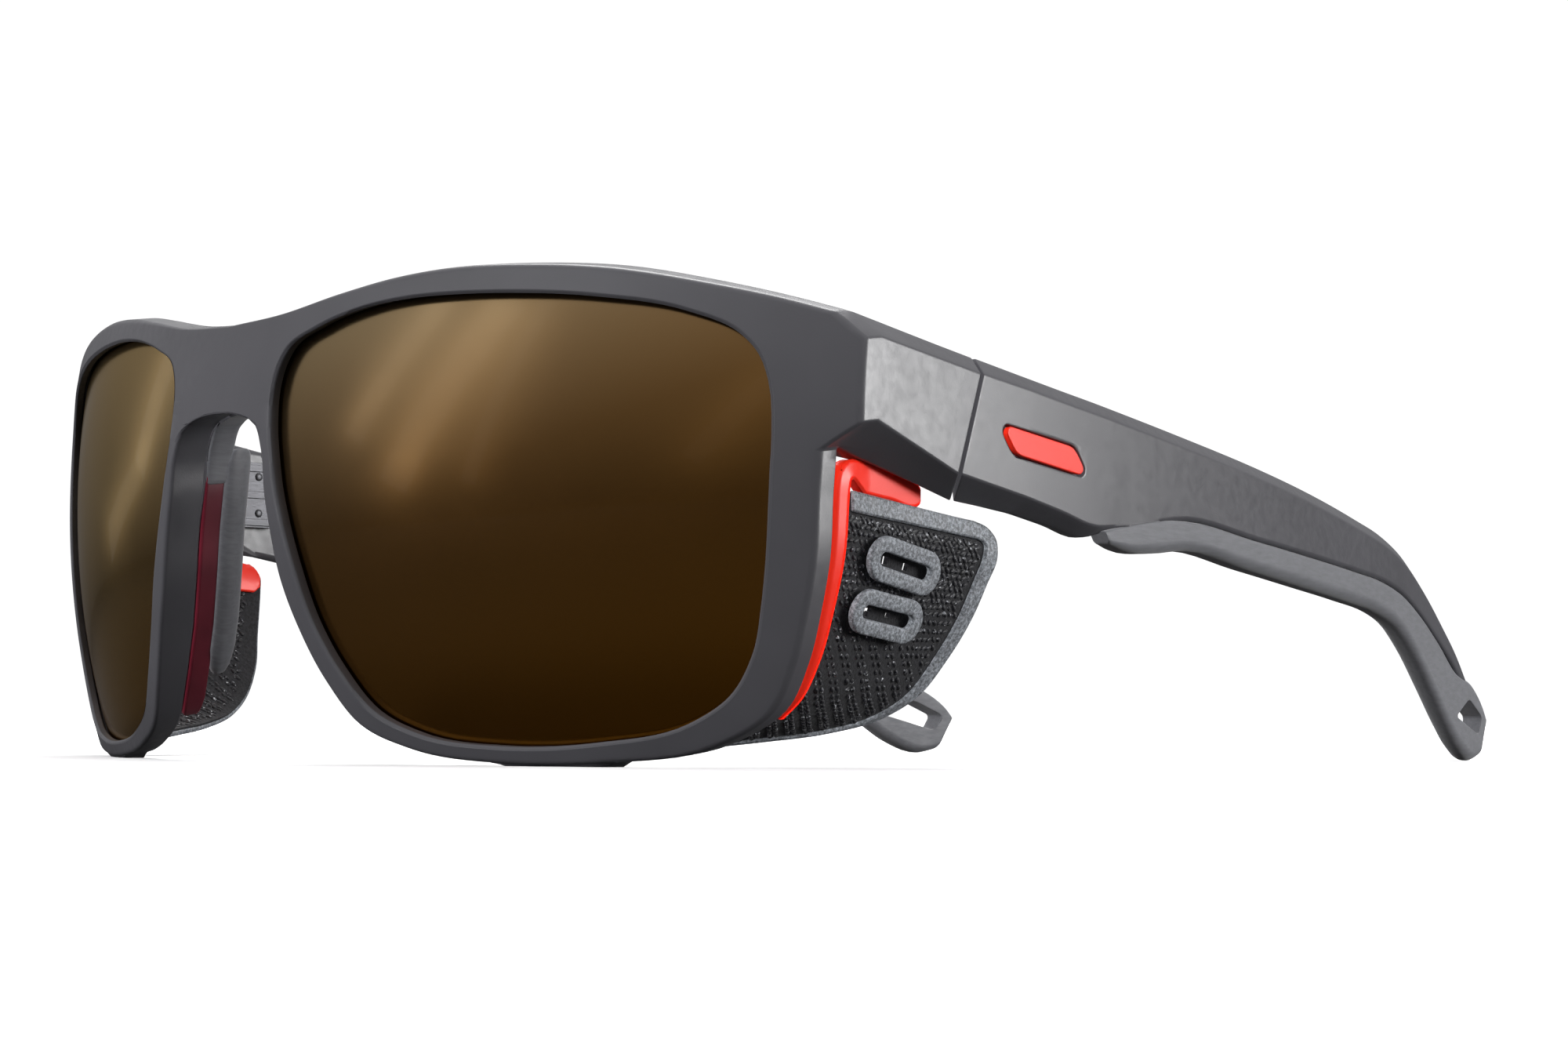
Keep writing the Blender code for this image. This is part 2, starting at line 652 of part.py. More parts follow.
def hinge_leaf(name, levels, near, far):
    """A leaf plate with a knuckle on each pair of levels; near and far are along the temple."""
    axis = (HINGE_X, HINGE_Y - DEPTH_CENTRE)
    plate_in = HINGE_X + 0.5
    plate_out = SEAM_INNER[0][0] - GAP
    near -= DEPTH_CENTRE
    far -= DEPTH_CENTRE
    plate = prism(name, ((plate_in, near), (plate_out, near), (plate_out, far), (plate_in, far)),
                  KNUCKLE_LEVELS[0] + 0.1, KNUCKLE_LEVELS[-1] - 0.1)
    joined = [plate]
    for low, high in levels:
        joined.append(prism("knuckle", circle(axis, KNUCKLE_RADIUS), low, high))
        reach = (near, far)[abs(far - axis[1]) < abs(near - axis[1])]
        ends = sorted((axis[1], reach - math.copysign(0.5, axis[1] - reach)))
        web = ((plate_in, ends[0]), (plate_out - 0.05, ends[0]), (plate_out - 0.05, ends[1]),
               (plate_in, ends[1]))
        joined.append(prism("web", web, low + 0.05, high - 0.05))
    leaf = combine(joined[0], joined[1:], "UNION")
    bore = prism("bore", circle(axis, BORE_RADIUS), KNUCKLE_LEVELS[0] - 2, KNUCKLE_LEVELS[-1] + 2)
    return combine(leaf, [bore], "DIFFERENCE")


def build_hinges():
    """A three-knuckle hinge inside each lug: a leaf on the lug, one on the temple, and a screw."""
    levels = KNUCKLE_LEVELS
    clear = KNUCKLE_RADIUS + GAP
    front = hinge_leaf("hinge_front_leaf", (levels[0:2], levels[4:6]), 34.0, HINGE_Y - clear)
    rear = hinge_leaf("hinge_temple_leaf", (levels[2:4],), HINGE_Y + clear, 52.5)
    place_pair("hinge_front_leaf", front, "steel")
    place_pair("hinge_temple_leaf", rear, "steel", hinge_pivot())
    axis = (HINGE_X, HINGE_Y - DEPTH_CENTRE)
    pin = prism("pin", circle(axis, PIN_RADIUS), levels[0] - 0.1, levels[-1] + 0.4)
    head = prism("head", circle(axis, 1.0), levels[-1] + 0.2, levels[-1] + 0.8)
    place_pair("hinge_screw", combine(pin, [head], "UNION"), "steel")


# ---- side shields ------------------------------------------------------------------------------
def shield_place(station, share):
    """A place on the shield's middle surface: a station down it, and a share of the way back."""
    fronts = smooth_curve([on_front(*row[0], SHIELD_FRONT) for row in SHIELD_STATIONS], 8)
    rears = smooth_curve([from_front(*row[1]) for row in SHIELD_STATIONS], 8)
    reach = station * 8
    first = min(int(reach), len(fronts) - 2)
    rest = reach - first
    front = fronts[first] * (1 - rest) + fronts[first + 1] * rest
    rear = rears[first] * (1 - rest) + rears[first + 1] * rest
    return front + (rear - front) * share


def shield_length(station):
    return np.linalg.norm(shield_place(station, 1.0) - shield_place(station, 0.0))


def shield_normal(station, share):
    """The direction that points away from the head."""
    low = shield_place(min(station + 0.3, 11.0), share)
    high = shield_place(max(station - 0.3, 0.0), share)
    back = shield_place(station, min(share + 0.1, 1.0)) - shield_place(station, max(share - 0.1, 0.0))
    normal = np.cross(back, high - low)
    return normal / np.linalg.norm(normal)


def shield_layer(station, share, height):
    return shield_place(station, share) + shield_normal(station, share) * height


def trim_share(station):
    """Where the trim's inner edge lies at a station, as a share of the way back."""
    width = np.interp(station, (3.0, 6.0, 9.0), (TRIM_WIDTH_REAR, TRIM_WIDTH_REAR, TRIM_WIDTH_BELOW))
    return 1.0 - width / shield_length(station)


def build_fabric():
    """The shield's fabric panel, inside the trim."""
    stations = [2.52] + [3 + 0.5 * i for i in range(17)]
    shares = [i / 8 for i in range(9)]
    half = FABRIC_THICKNESS / 2
    points = []
    for height in (half, -half):
        for station in stations:
            end = trim_share(station) - GAP / shield_length(station)
            points.extend(shield_layer(station, share * end, height) for share in shares)
    rows = len(stations)
    columns = len(shares)
    back = rows * columns
    faces = []
    for r in range(rows - 1):
        for c in range(columns - 1):
            a = r * columns + c
            faces.append((a, a + 1, a + columns + 1, a + columns))
            faces.append((back + a, back + a + columns, back + a + columns + 1, back + a + 1))
    rim = [c for c in range(columns)]
    rim += [r * columns + columns - 1 for r in range(1, rows)]
    rim += [(rows - 1) * columns + c for c in range(columns - 2, -1, -1)]
    rim += [r * columns for r in range(rows - 2, 0, -1)]
    for a, b in zip(rim, rim[1:] + rim[:1]):
        faces.append((a, b, back + b, back + a))
    place_pair("shield_fabric", closed_mesh("shield_fabric", points, faces), "fabric",
               shield_pivot())


def build_trim():
    """The moulded edging along the shield's top, rear and lower edges."""
    half = TRIM_THICKNESS / 2
    edges = [(0.0, share, TRIM_INSET_TOP, share) for share in (0.04, 0.2, 0.4, 0.6, 0.78)]
    edges += list(TRIM_CORNER)
    edges += [(0.5 * i, 1.0, 0.5 * i, trim_share(0.5 * i)) for i in range(6, 23)]
    sections = []
    for outer, outer_share, inner, inner_share in edges:
        sections.append([shield_layer(outer, outer_share, half),
                         shield_layer(outer, outer_share, -half),
                         shield_layer(inner, inner_share, -half),
                         shield_layer(inner, inner_share, half)])
    place_pair("shield_trim", loft("shield_trim", sections), "trim", shield_pivot())


def build_clip():
    """The red clip: a bar along the rim, and an arm back under the lug."""
    sections = []
    centre, turn = CLIP_CENTRE
    for u, v, rear, width in CLIP_BAR:
        inward = np.array((centre[0], v if v > turn else centre[1])) - (u, v)
        inward = inward / np.linalg.norm(inward)
        out = np.array((u, v)) - inward * CLIP_PROUD
        into = np.array((u, v)) + inward * width
        sections.append([on_front(*out, CLIP_FRONT), on_front(*out, rear),
                         on_front(*into, rear), on_front(*into, CLIP_FRONT)])
    corner_top = on_front(*CLIP_CORNER[0], CLIP_FRONT)
    corner_low = on_front(*CLIP_CORNER[1], CLIP_BAR[-1][2])
    thickness = CLIP_BAR[-1][3] + CLIP_PROUD
    step_in = np.array((-thickness, 0, 0))
    sections[-1] = [corner_top, corner_low, corner_low + step_in, corner_top + step_in]
    for back, top, bottom in CLIP_TOP:
        out = np.interp(back, *CLIP_ARM_X)
        sections.append([from_front(out, back, top), from_front(out, back, bottom),
                         from_front(out - thickness, back, bottom),
                         from_front(out - thickness, back, top)])
    place_pair("shield_clip", loft("shield_clip", sections), "red", shield_pivot())


def build_vents():
    """Two stadium-shaped rings on each shield, round its vent slots."""
    for name, (station, share) in zip(("vent_ring_upper", "vent_ring_lower"), VENT_PLACES):
        centre = shield_place(station, share)
        normal = shield_normal(station, share)
        back = shield_place(station, share + 0.1) - centre
        back = back / np.linalg.norm(back)
        up = np.cross(normal, back)
        up = up if up[2] > 0 else -up
        along_slot = back * math.cos(VENT_TILT) + up * math.sin(VENT_TILT)
        across = up * math.cos(VENT_TILT) - back * math.sin(VENT_TILT)
        low = FABRIC_THICKNESS / 2 + GAP
        loops = []
        for length, width, height in (
                (VENT_LENGTH, VENT_WIDTH, low), (VENT_LENGTH, VENT_WIDTH, low + VENT_THICKNESS),
                (VENT_SLOT_LENGTH, VENT_SLOT_WIDTH, low + VENT_THICKNESS),
                (VENT_SLOT_LENGTH, VENT_SLOT_WIDTH, low)):
            loops.append([centre + along_slot * x + across * y + normal * height
                          for x, y in stadium(length, width)])
        size = len(loops[0])
        points = [p for loop in loops for p in loop]
        faces = []
        for ring in range(4):
            for i in range(size):
                j = (i + 1) % size
                after = (ring + 1) % 4
                faces.append((ring * size + i, ring * size + j, after * size + j, after * size + i))
        place_pair(name, closed_mesh(name, points, faces), "trim", shield_pivot())


def stadium(length, width):
    """Points round a slot shape with half-round ends."""
    radius = width / 2
    reach = length / 2 - radius
    points = []
    for end in (0, 1):
        for i in range(7):
            angle = -math.pi / 2 + math.pi * i / 6 + math.pi * end
            points.append((reach * (1 - 2 * end) + radius * math.cos(angle),
                           radius * math.sin(angle)))
    return points


def shield_pivot():
    return tuple(on_front(67.6, 8.0, CLIP_FRONT))


def clear_scene():
    for item in list(bpy.data.objects):
        bpy.data.objects.remove(item)


def main():
    clear_scene()
    build_front()
    build_lenses()
    build_nose_pads()
    build_temples()
    build_grips()
    build_hinges()
    build_clip()
    build_fabric()
    build_trim()
    build_vents()


main()
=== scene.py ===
"""Finished look of the glacier glasses: smooth mouldings, coated lenses, soft grips and knitted shields.

Shapes are worked out in millimetres for the left side, mirrored for the right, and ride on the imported
frame's bodies.  The wearer looks along -Y, the wearer's left is +X and +Z is up.
"""
import math

import bmesh
import bpy
import numpy as np
from bpy.props import FloatProperty, FloatVectorProperty, IntProperty, PointerProperty
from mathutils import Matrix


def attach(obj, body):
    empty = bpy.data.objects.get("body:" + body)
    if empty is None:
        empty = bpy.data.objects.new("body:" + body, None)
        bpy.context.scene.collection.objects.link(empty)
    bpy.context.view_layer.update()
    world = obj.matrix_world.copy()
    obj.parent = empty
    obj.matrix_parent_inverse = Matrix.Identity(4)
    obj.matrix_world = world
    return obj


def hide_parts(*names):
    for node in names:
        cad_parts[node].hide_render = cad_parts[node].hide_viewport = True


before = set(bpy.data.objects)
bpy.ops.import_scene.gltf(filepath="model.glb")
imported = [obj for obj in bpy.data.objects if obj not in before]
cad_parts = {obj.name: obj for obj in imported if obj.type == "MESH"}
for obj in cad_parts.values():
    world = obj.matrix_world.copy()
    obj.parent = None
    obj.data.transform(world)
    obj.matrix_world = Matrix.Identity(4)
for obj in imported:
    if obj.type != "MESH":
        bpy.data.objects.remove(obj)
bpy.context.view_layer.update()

bl_info = {
    "name": "Glacier Glasses",
    "version": (1, 0, 0),
    "blender": (4, 5, 0),
    "location": "3D View > Sidebar > Glasses",
    "description": "Builds the finished pieces of a pair of glacier glasses on their packed frame",
    "category": "Object",
}

MM = 0.001
SIDES = (("left", 1.0), ("right", -1.0))

# ---- the front's curved face ---------------------------------------------------------------------
WRAP_RADIUS = 101.2
WRAP_QUARTIC = 0.87e-7
CROWN_RADIUS = 83.9
TILT = math.radians(8.05)
BRIDGE_HEIGHT = 16.3
DEPTH_CENTRE = 80.75

# ---- rim -----------------------------------------------------------------------------------------
FRONT_ROUND = 0.5            # radius of the frame's outer front edge
OPENING_ROUND = 0.35         # radius of the lens opening's front edge
LENS_FRONT = 1.5
LENS_THICKNESS = 1.6
GROOVE_DEPTH = 1.2
GROOVE_PLAY = 0.2
REAR_LIP = 1.6
LENS_SEAT = 0.9
GAP = 0.3
SEAM_GAP = 0.4
FOOT_HALF_WIDTH = 5.5
FOOT_CENTRE = 40.4
EDGE_SOFTENING = 0.22        # bevel of the mouldings' creases
CREASE_ANGLE = math.radians(28.0)
SHARP_ANGLE = math.radians(40.0)

# One row for each station round the left lens, seen from the front: the lens opening's edge, then
# the frame's outer edge (across, up), and whether the outer edge turns sharply there.
RIM_STATIONS = (
    ((10.9, 26.4), (0.0, 29.8), True),
    ((15.3, 28.4), (9.0, 30.3), False),
    ((20.4, 29.6), (17.5, 31.6), False),
    ((26.4, 30.1), (25.0, 32.5), False),
    ((32.1, 29.95), (32.0, 32.7), False),
    ((38.6, 29.4), (39.0, 32.2), False),
    ((47.2, 28.1), (48.3, 30.8), False),
    ((55.9, 25.7), (57.5, 28.2), False),
    ((60.7, 23.0), (63.6, 26.05), False),
    ((62.5, 20.7), (68.4, 24.0), True),
    ((63.4, 18.1), (70.9, 21.2), True),
    ((63.8, 13.4), (70.9, 13.2), True),
    ((63.75, 11.0), (67.8, 11.0), True),
    ((63.7, 10.2), (67.75, 10.0), False),
    ((63.5, 6.8), (67.5, 6.8), False),
    ((62.9, 0.6), (66.9, 0.4), False),
    ((62.2, -3.4), (65.8, -4.4), False),
    ((60.9, -8.1), (64.1, -9.6), False),
    ((58.4, -12.0), (61.6, -14.0), False),
    ((54.3, -14.5), (56.2, -17.0), False),
    ((45.3, -15.8), (45.6, -17.9), False),
    ((35.5, -15.6), (35.2, -17.4), False),
    ((26.3, -13.9), (24.9, -15.5), False),
    ((21.3, -11.3), (19.2, -12.8), False),
    ((18.0, -7.0), (15.8, -8.2), False),
    ((15.1, -1.5), (12.9, -2.4), False),
    ((13.3, 3.7), (10.9, 2.8), False),
    ((11.8, 8.4), (9.7, 7.8), False),
    ((10.7, 12.3), (8.8, 12.0), False),
    ((10.0, 15.7), (8.1, 16.4), False),
    ((9.6, 17.8), (6.8, 19.1), False),
    ((9.4, 19.6), (3.6, 20.3), False),
    ((9.3, 21.0), (0.0, 20.6), True),
    ((9.4, 22.9), (0.0, 23.6), True),
    ((9.9, 24.8), (0.0, 26.7), True),
)
LUG_FIRST = 9
LUG_LAST = 12
LUG_SECTIONS = ((0.2, 0.6), (0.42, 1.0), (0.7, 1.0), (1.0, 1.0))
MIRROR_FIRST = 32
RIM_STEPS = 8
LUG_STEPS = 3
CHAIN_COUNT = (LUG_LAST - LUG_FIRST) * LUG_STEPS + 1
LENS_CENTRE = (36.5, 7.5)
LENS_RINGS = 14
# station, depth of the rim, depth of its outer wall, width of the step between them
RIM_DEPTHS = (
    (0, 3.9, 3.5, 0.5), (6, 3.9, 3.2, 0.5), (8, 3.9, 2.3, 0.5), (9, 3.9, 2.3, 9.0),
    (12, 3.9, 2.3, 9.0), (12.5, 3.9, 2.3, 1.75), (18.5, 3.9, 2.3, 1.75), (20, 3.9, 3.2, 0.5),
    (23, 3.9, 3.4, 0.5), (25, 4.9, 4.4, 0.5), (29, 4.9, 4.4, 0.5), (32, 4.4, 4.0, 0.5),
    (35, 3.9, 3.5, 0.5))

# ---- nose pads, from the rim's outer rear edge (away from the lens, behind) -----------------------
CARRIER_PROFILE = ((-0.1, -0.1), (-0.1, 2.5), (-1.8, 2.5), (-1.8, -0.1))
PAD_PROFILE = ((-0.9, 2.2), (0.1, 2.3), (0.5, 2.9), (0.45, 4.2), (-0.1, 5.3), (-1.2, 6.15),
               (-2.6, 6.1), (-2.4, 5.2), (-1.2, 3.9))
CARRIER_STATIONS = (23, 29.5)
PAD_STATIONS = (24, 29.2)
CURL_PROFILE = ((-0.1, -0.2), (0.15, 0.5), (0.15, 2.6), (-0.4, 3.2), (-1.7, 3.2), (-1.7, -0.2))
CURL_STATIONS = (28.2, 31.9)

# ---- temple and grip, seen from the side ----------------------------------------------------------
TEMPLE_TOP_CHAMFER = 1.6
TEMPLE_STEPS = 5
# upper edge (back, up), lower edge (back, up), lower chamfer's height and inset, thickness
TEMPLE_STATIONS = (
    ((51.1, 39.9), (50.3, 25.9), 1.5, 2.6, 3.35),
    ((57.8, 38.9), (56.4, 24.9), 1.3, 2.1, 3.4),
    ((64.2, 38.0), (62.4, 23.9), 1.1, 1.6, 3.5),
    ((67.6, 37.5), (66.0, 24.8), 0.4, 0.4, 3.6),
    ((80.6, 35.6), (79.6, 26.35), 0.4, 0.4, 3.5),
    ((96.3, 33.3), (94.2, 24.95), 0.4, 0.4, 3.4),
    ((109.6, 31.1), (107.4, 23.65), 0.4, 0.4, 3.3),
    ((121.5, 28.8), (118.9, 22.5), 0.4, 0.4, 3.3),
    ((129.2, 27.1), (127.4, 21.5), 0.4, 0.4, 3.2),
    ((134.6, 25.2), (132.6, 20.3), 0.4, 0.4, 3.2),
    ((140.4, 22.0), (138.0, 18.1), 0.4, 0.4, 3.1),
    ((146.6, 17.9), (144.6, 14.6), 0.4, 0.4, 3.0),
    ((151.8, 14.2), (149.8, 11.6), 0.4, 0.4, 2.9),
    ((155.4, 11.0), (153.4, 9.0), 0.4, 0.4, 2.8),
)
# grip's upper edge, which meets the temple, and its lower edge, then its thickness
GRIP_STATIONS = (
    ((64.2, 24.3), (64.9, 23.3), 2.2),
    ((66.2, 24.75), (68.4, 22.7), 3.4),
    ((73.2, 25.75), (74.6, 22.7), 3.8),
    ((80.0, 26.0), (80.4, 23.2), 3.8),
    ((94.0, 24.6), (93.4, 21.7), 3.7),
    ((107.2, 23.3), (106.6, 20.2), 3.6),
    ((118.6, 22.15), (117.6, 19.0), 3.5),
    ((127.2, 21.15), (126.0, 17.9), 3.4),
    ((132.4, 19.95), (131.0, 16.5), 3.3),
    ((137.8, 17.75), (136.4, 13.4), 3.2),
    ((144.4, 14.25), (142.6, 8.6), 3.1),
    ((150.4, 10.7), (147.8, 4.4), 3.0),
    ((155.9, 9.4), (152.2, 1.5), 3.0),
    ((160.4, 6.6), (157.0, 0.0), 2.9),
    ((161.9, 5.0), (159.6, 0.5), 2.7),
)
GRIP_STEPS = 5
GRIP_TUCK = 0.35             # how far the grip reaches up behind the temple's edge
CORD_SLOT = ((150.6, 5.6), (155.3, 7.8), (160.2, 5.5), (158.9, 3.3))
CORD_SLOT_ROUND = 0.7
SEAM_OUTER = ((68.7, 41.05), (70.3, 39.3), (70.5, 29.1), (67.4, 26.6))
SEAM_INNER = ((66.4, 28.2), (66.4, 30.2), (66.4, 39.4), (66.7, 41.05))

# ---- emblem: a plain slanted bar let into the temple (back, up) -----------------------------------
EMBLEM = ((47.6, 34.4), (47.2, 33.6), (48.6, 31.9), (49.4, 31.5), (59.6, 30.1), (60.2, 30.8),
          (58.8, 32.5), (58.0, 33.0))
EMBLEM_RECESS = 0.8
EMBLEM_PROUD = 0.15
EMBLEM_PLAY = 0.25

# ---- hinge -----------------------------------------------------------------------------------------
HINGE_X = 64.6
HINGE_Y = 43.3
KNUCKLE_RADIUS = 1.4
KNUCKLE_LEVELS = (29.6, 32.3, 32.6, 35.4, 35.7, 38.4)
PIN_RADIUS = 0.45
ROUND_SIDES = 40
LEAF_FRONT = 34.0
LEAF_REAR = 52.5
RIVET_RADIUS = 0.55
RIVET_HEIGHT = 0.22
LEAF_RIBS = (30.4, 34.0, 37.5)   # heights of the stiffening ribs

# ---- side shield -----------------------------------------------------------------------------------
# front edge on the rim (across, up), and the rear edge (across, back, up)
SHIELD_STATIONS = (
    ((66.8, 6.9), (65.3, 47.0, 24.85)),
    ((66.75, 6.2), (65.2, 49.2, 24.3)),
    ((66.7, 5.2), (65.3, 50.4, 23.1)),
    ((66.6, 3.6), (65.4, 50.5, 21.6)),
    ((65.9, -0.8), (64.6, 49.8, 18.8)),
    ((65.0, -4.5), (63.6, 48.9, 15.7)),
    ((63.3, -9.2), (61.6, 47.3, 11.4)),
    ((60.8, -13.2), (59.8, 44.6, 7.4)),
    ((58.2, -15.0), (58.2, 41.5, 5.4)),
    ((55.3, -16.0), (56.0, 36.5, 4.0)),
    ((52.0, -16.6), (53.3, 30.5, 3.2)),
    ((49.4, -16.8), (50.6, 25.2, 2.6)),
)
SHIELD_LAST = len(SHIELD_STATIONS) - 1
SHIELD_STEPS = 8
SHIELD_FRONT = 4.75
FABRIC_TOP = 0.35            # station where the fabric starts, under the trim
FABRIC_THICKNESS = 0.5
STITCH_TOP = 2.5             # station where the stitches show below the trim
FABRIC_INSET = 0.35
TRIM_HEIGHTS = (0.6, 0.05)   # trim's outer and inner faces from the shield's middle
TRIM_WIDTH_REAR = 2.0
TRIM_WIDTH_BELOW = 1.3
TRIM_INSET_TOP = 2.2
TRIM_CORNER = ((0.0, 0.9, 2.2, 0.87), (0.0, 1.0, 2.3, 0.9), (1.0, 1.0, 2.42, 0.915),
               (2.0, 1.0, 2.6, 0.918))
TRIM_STEPS = 4
VENT_PLACES = ((3.72, 0.37), (5.07, 0.335))
VENT_LENGTH = 10.8
VENT_WIDTH = 4.6
VENT_SLOT_LENGTH = 7.8
VENT_SLOT_WIDTH = 1.4
VENT_THICKNESS = 0.8
VENT_TILT = math.radians(-8.0)
CLOTH_PLAY = 0.4             # half the CAD panel's thickness, which the rings sit on
EYELET_PLACES = (-1.9, 1.1)  # along each vent slot
EYELET_RADIUS = 0.42

# clip: vertical bar along the rim as (across, up, depth at its rear, width)
CLIP_BAR = ((60.4, -14.9, 3.1, 0.7), (62.4, -12.9, 3.3, 1.2), (64.1, -9.6, 3.6, 1.5),
            (65.8, -4.4, 3.9, 1.5), (66.9, 0.4, 4.15, 1.5), (67.5, 6.4, 4.3, 1.5),
            (67.7, 8.1, 4.35, 1.5))
CLIP_FRONT = 2.6
CLIP_PROUD = 0.1
CLIP_CORNER = ((67.8, 10.1), (67.8, 8.1))
CLIP_ARM_X = ((27.0, 50.0), (67.3, 64.9))
CLIP_CENTRE = ((36.0, 8.0), -8.0)
CLIP_TOP = ((30.6, 30.1, 26.75), (34.6, 29.3, 26.35), (38.6, 28.4, 25.95), (39.2, 28.0, 26.3))
CLIP_ROUND = 0.35
# the clip's inner flange behind the fabric's top: stations, shares of the way back, heights
FLANGE_STATIONS = (0.1, 3.25)
FLANGE_SHARES = (0.06, 0.975)
FLANGE_HEIGHTS = (-0.25, -0.85)
CLIP_STEPS = 6

# ---- camera and stage -----------------------------------------------------------------------------
CAMERA_PLACE = (0.2913, -0.27505, 0.00475)
CAMERA_TURN = math.radians(47.72)
CAMERA_RISE = math.radians(2.08)
CAMERA_ROLL = math.radians(0.26)
CAMERA_LENS = 74.77
CAMERA_SHIFT = (0.0485, 0.05)
FLOOR_SIZE = 8.0
# strip lights whose reflections slant across the lenses: both ends, width and radiance
STREAKS = (
    ((-0.163, -0.956, 0.467), (-0.388, -0.985, 0.089), 0.09, 0.9),
    ((-0.321, -0.904, 0.479), (-0.501, -0.916, 0.194), 0.06, 0.8),
    ((-0.076, -0.974, 0.456), (-0.190, -1.030, 0.080), 0.04, 0.6),
    ((0.455, -0.947, 0.278), (0.313, -1.028, 0.099), 0.05, 0.25),
    ((-0.947, -0.320, 0.309), (-1.000, -0.250, 0.136), 0.07, 0.7),
    ((-1.000, -0.250, 0.136), (-1.026, -0.050, 0.050), 0.05, 0.4),
)


class GlassesSettings(bpy.types.PropertyGroup):
    """Sizes and colours that someone might change."""
    frame_colour: FloatVectorProperty(
        name="Frame", description="Satin plastic of the front and temples", subtype="COLOR",
        size=3, min=0.0, max=1.0, default=(0.061, 0.060, 0.067))
    # The lens's top and bottom colours: the change between them is partly the coating's own gradient and partly
    # painted reflection of the bright sky above and the dark floor below.
    lens_top_colour: FloatVectorProperty(
        name="Lens top", description="Coating at the lens's upper edge", subtype="COLOR",
        size=3, min=0.0, max=1.0, default=(0.42, 0.305, 0.165))
    lens_bottom_colour: FloatVectorProperty(
        name="Lens bottom", description="Coating at the lens's lower edge", subtype="COLOR",
        size=3, min=0.0, max=1.0, default=(0.42, 0.16, 0.004))
    red_colour: FloatVectorProperty(
        name="Red", description="Shield clips and temple inlays", subtype="COLOR",
        size=3, min=0.0, max=1.0, default=(0.95, 0.030, 0.012))
    grip_colour: FloatVectorProperty(
        name="Soft grip", description="Rubber of the grips and nose pads", subtype="COLOR",
        size=3, min=0.0, max=1.0, default=(0.115, 0.117, 0.128))
    trim_colour: FloatVectorProperty(
        name="Trim", description="Heathered edging and vent rings", subtype="COLOR",
        size=3, min=0.0, max=1.0, default=(0.180, 0.190, 0.203))
    knit_pitch: FloatProperty(
        name="Knit pitch", description="Distance between two stitches of the shield fabric",
        unit="LENGTH", default=0.78 * MM, min=0.3 * MM, max=3.0 * MM)
    knit_height: FloatProperty(
        name="Stitch height", description="How far a stitch stands out of the fabric",
        unit="LENGTH", default=0.2 * MM, min=0.02 * MM, max=0.5 * MM)
    knit_seed: IntProperty(
        name="Knit seed", description="Seed of the stitches' unevenness", default=7, min=0)


# ---- curves and places ----------------------------------------------------------------------------
def on_front(u, v, w):
    """A place given across, up and behind the front's curved face."""
    sag = u * u / (2 * WRAP_RADIUS) + WRAP_QUARTIC * u ** 4 + v * v / (2 * CROWN_RADIUS) + w
    y = sag * math.cos(TILT) - v * math.sin(TILT) - DEPTH_CENTRE
    z = v * math.cos(TILT) + sag * math.sin(TILT) + BRIDGE_HEIGHT
    return np.array((u, y, z))


def from_front(x, back, z):
    """A place given across, back from the front's datum and up."""
    return np.array((x, back - DEPTH_CENTRE, z))


def temple_face(back):
    """How far out the temple's outer face is; it bows in towards the head."""
    reach = back - 27.0
    return 71.0 - 0.025 * reach - 0.00105 * reach * reach


def seam_back(x, z):
    """How far back the seam between lug and temple lies."""
    above = max(z - 34.1, 0.0)
    below = max(34.1 - z, 0.0)
    return 42.6 + 0.19 * above - 0.5 * below + 0.14 * below * (70.5 - x)


def smooth_slopes(points, closed):
    """Slopes per unit length of a smooth curve at its points."""
    count = len(points)
    slopes = []
    for i in range(count):
        before = points[i - 1] if closed or i > 0 else None
        after = points[(i + 1) % count] if closed or i < count - 1 else None
        if before is None:
            slopes.append((after - points[i]) / np.linalg.norm(after - points[i]))
        elif after is None:
            slopes.append((points[i] - before) / np.linalg.norm(points[i] - before))
        else:
            back = np.linalg.norm(points[i] - before)
            ahead = np.linalg.norm(after - points[i])
            slope = (points[i] - before) / back * ahead + (after - points[i]) / ahead * back
            slopes.append(slope / (back + ahead))
    return slopes


def smooth_curve(points, steps, closed=False):
    """The points with more between each two, on a smooth curve; steps may be one for each span."""
    points = [np.array(p, float) for p in points]
    slopes = smooth_slopes(points, closed)
    spans = len(points) if closed else len(points) - 1
    counts = [steps] * spans if isinstance(steps, int) else steps
    result = []
    for i in range(spans):
        j = (i + 1) % len(points)
        length = np.linalg.norm(points[j] - points[i])
        for step in range(counts[i]):
            t = step / counts[i]
            result.append(points[i] * (2 * t ** 3 - 3 * t ** 2 + 1)
                          + points[j] * (3 * t ** 2 - 2 * t ** 3)
                          + slopes[i] * length * (t ** 3 - 2 * t ** 2 + t)
                          + slopes[j] * length * (t ** 3 - t ** 2))
    if not closed:
        result.append(points[-1])
    return result


def cornered_curve(points, corners, steps):
    """A closed curve that is smooth between its corners; steps has one count for each span."""
    count = len(points)
    stops = [i for i in range(count) if corners[i]]
    result = []
    for here, there in zip(stops, stops[1:] + [stops[0] + count]):
        stretch = [points[i % count] for i in range(here, there + 1)]
        counts = [steps[i % count] for i in range(here, there)]
        result.extend(smooth_curve(stretch, counts)[:-1])
    return result


def arc(centre, radius, start, end, steps):
    """Points on an arc between two angles in degrees, both ends included."""
    angles = [math.radians(start + (end - start) * i / steps) for i in range(steps + 1)]
    return [(centre[0] + radius * math.cos(a), centre[1] + radius * math.sin(a)) for a in angles]


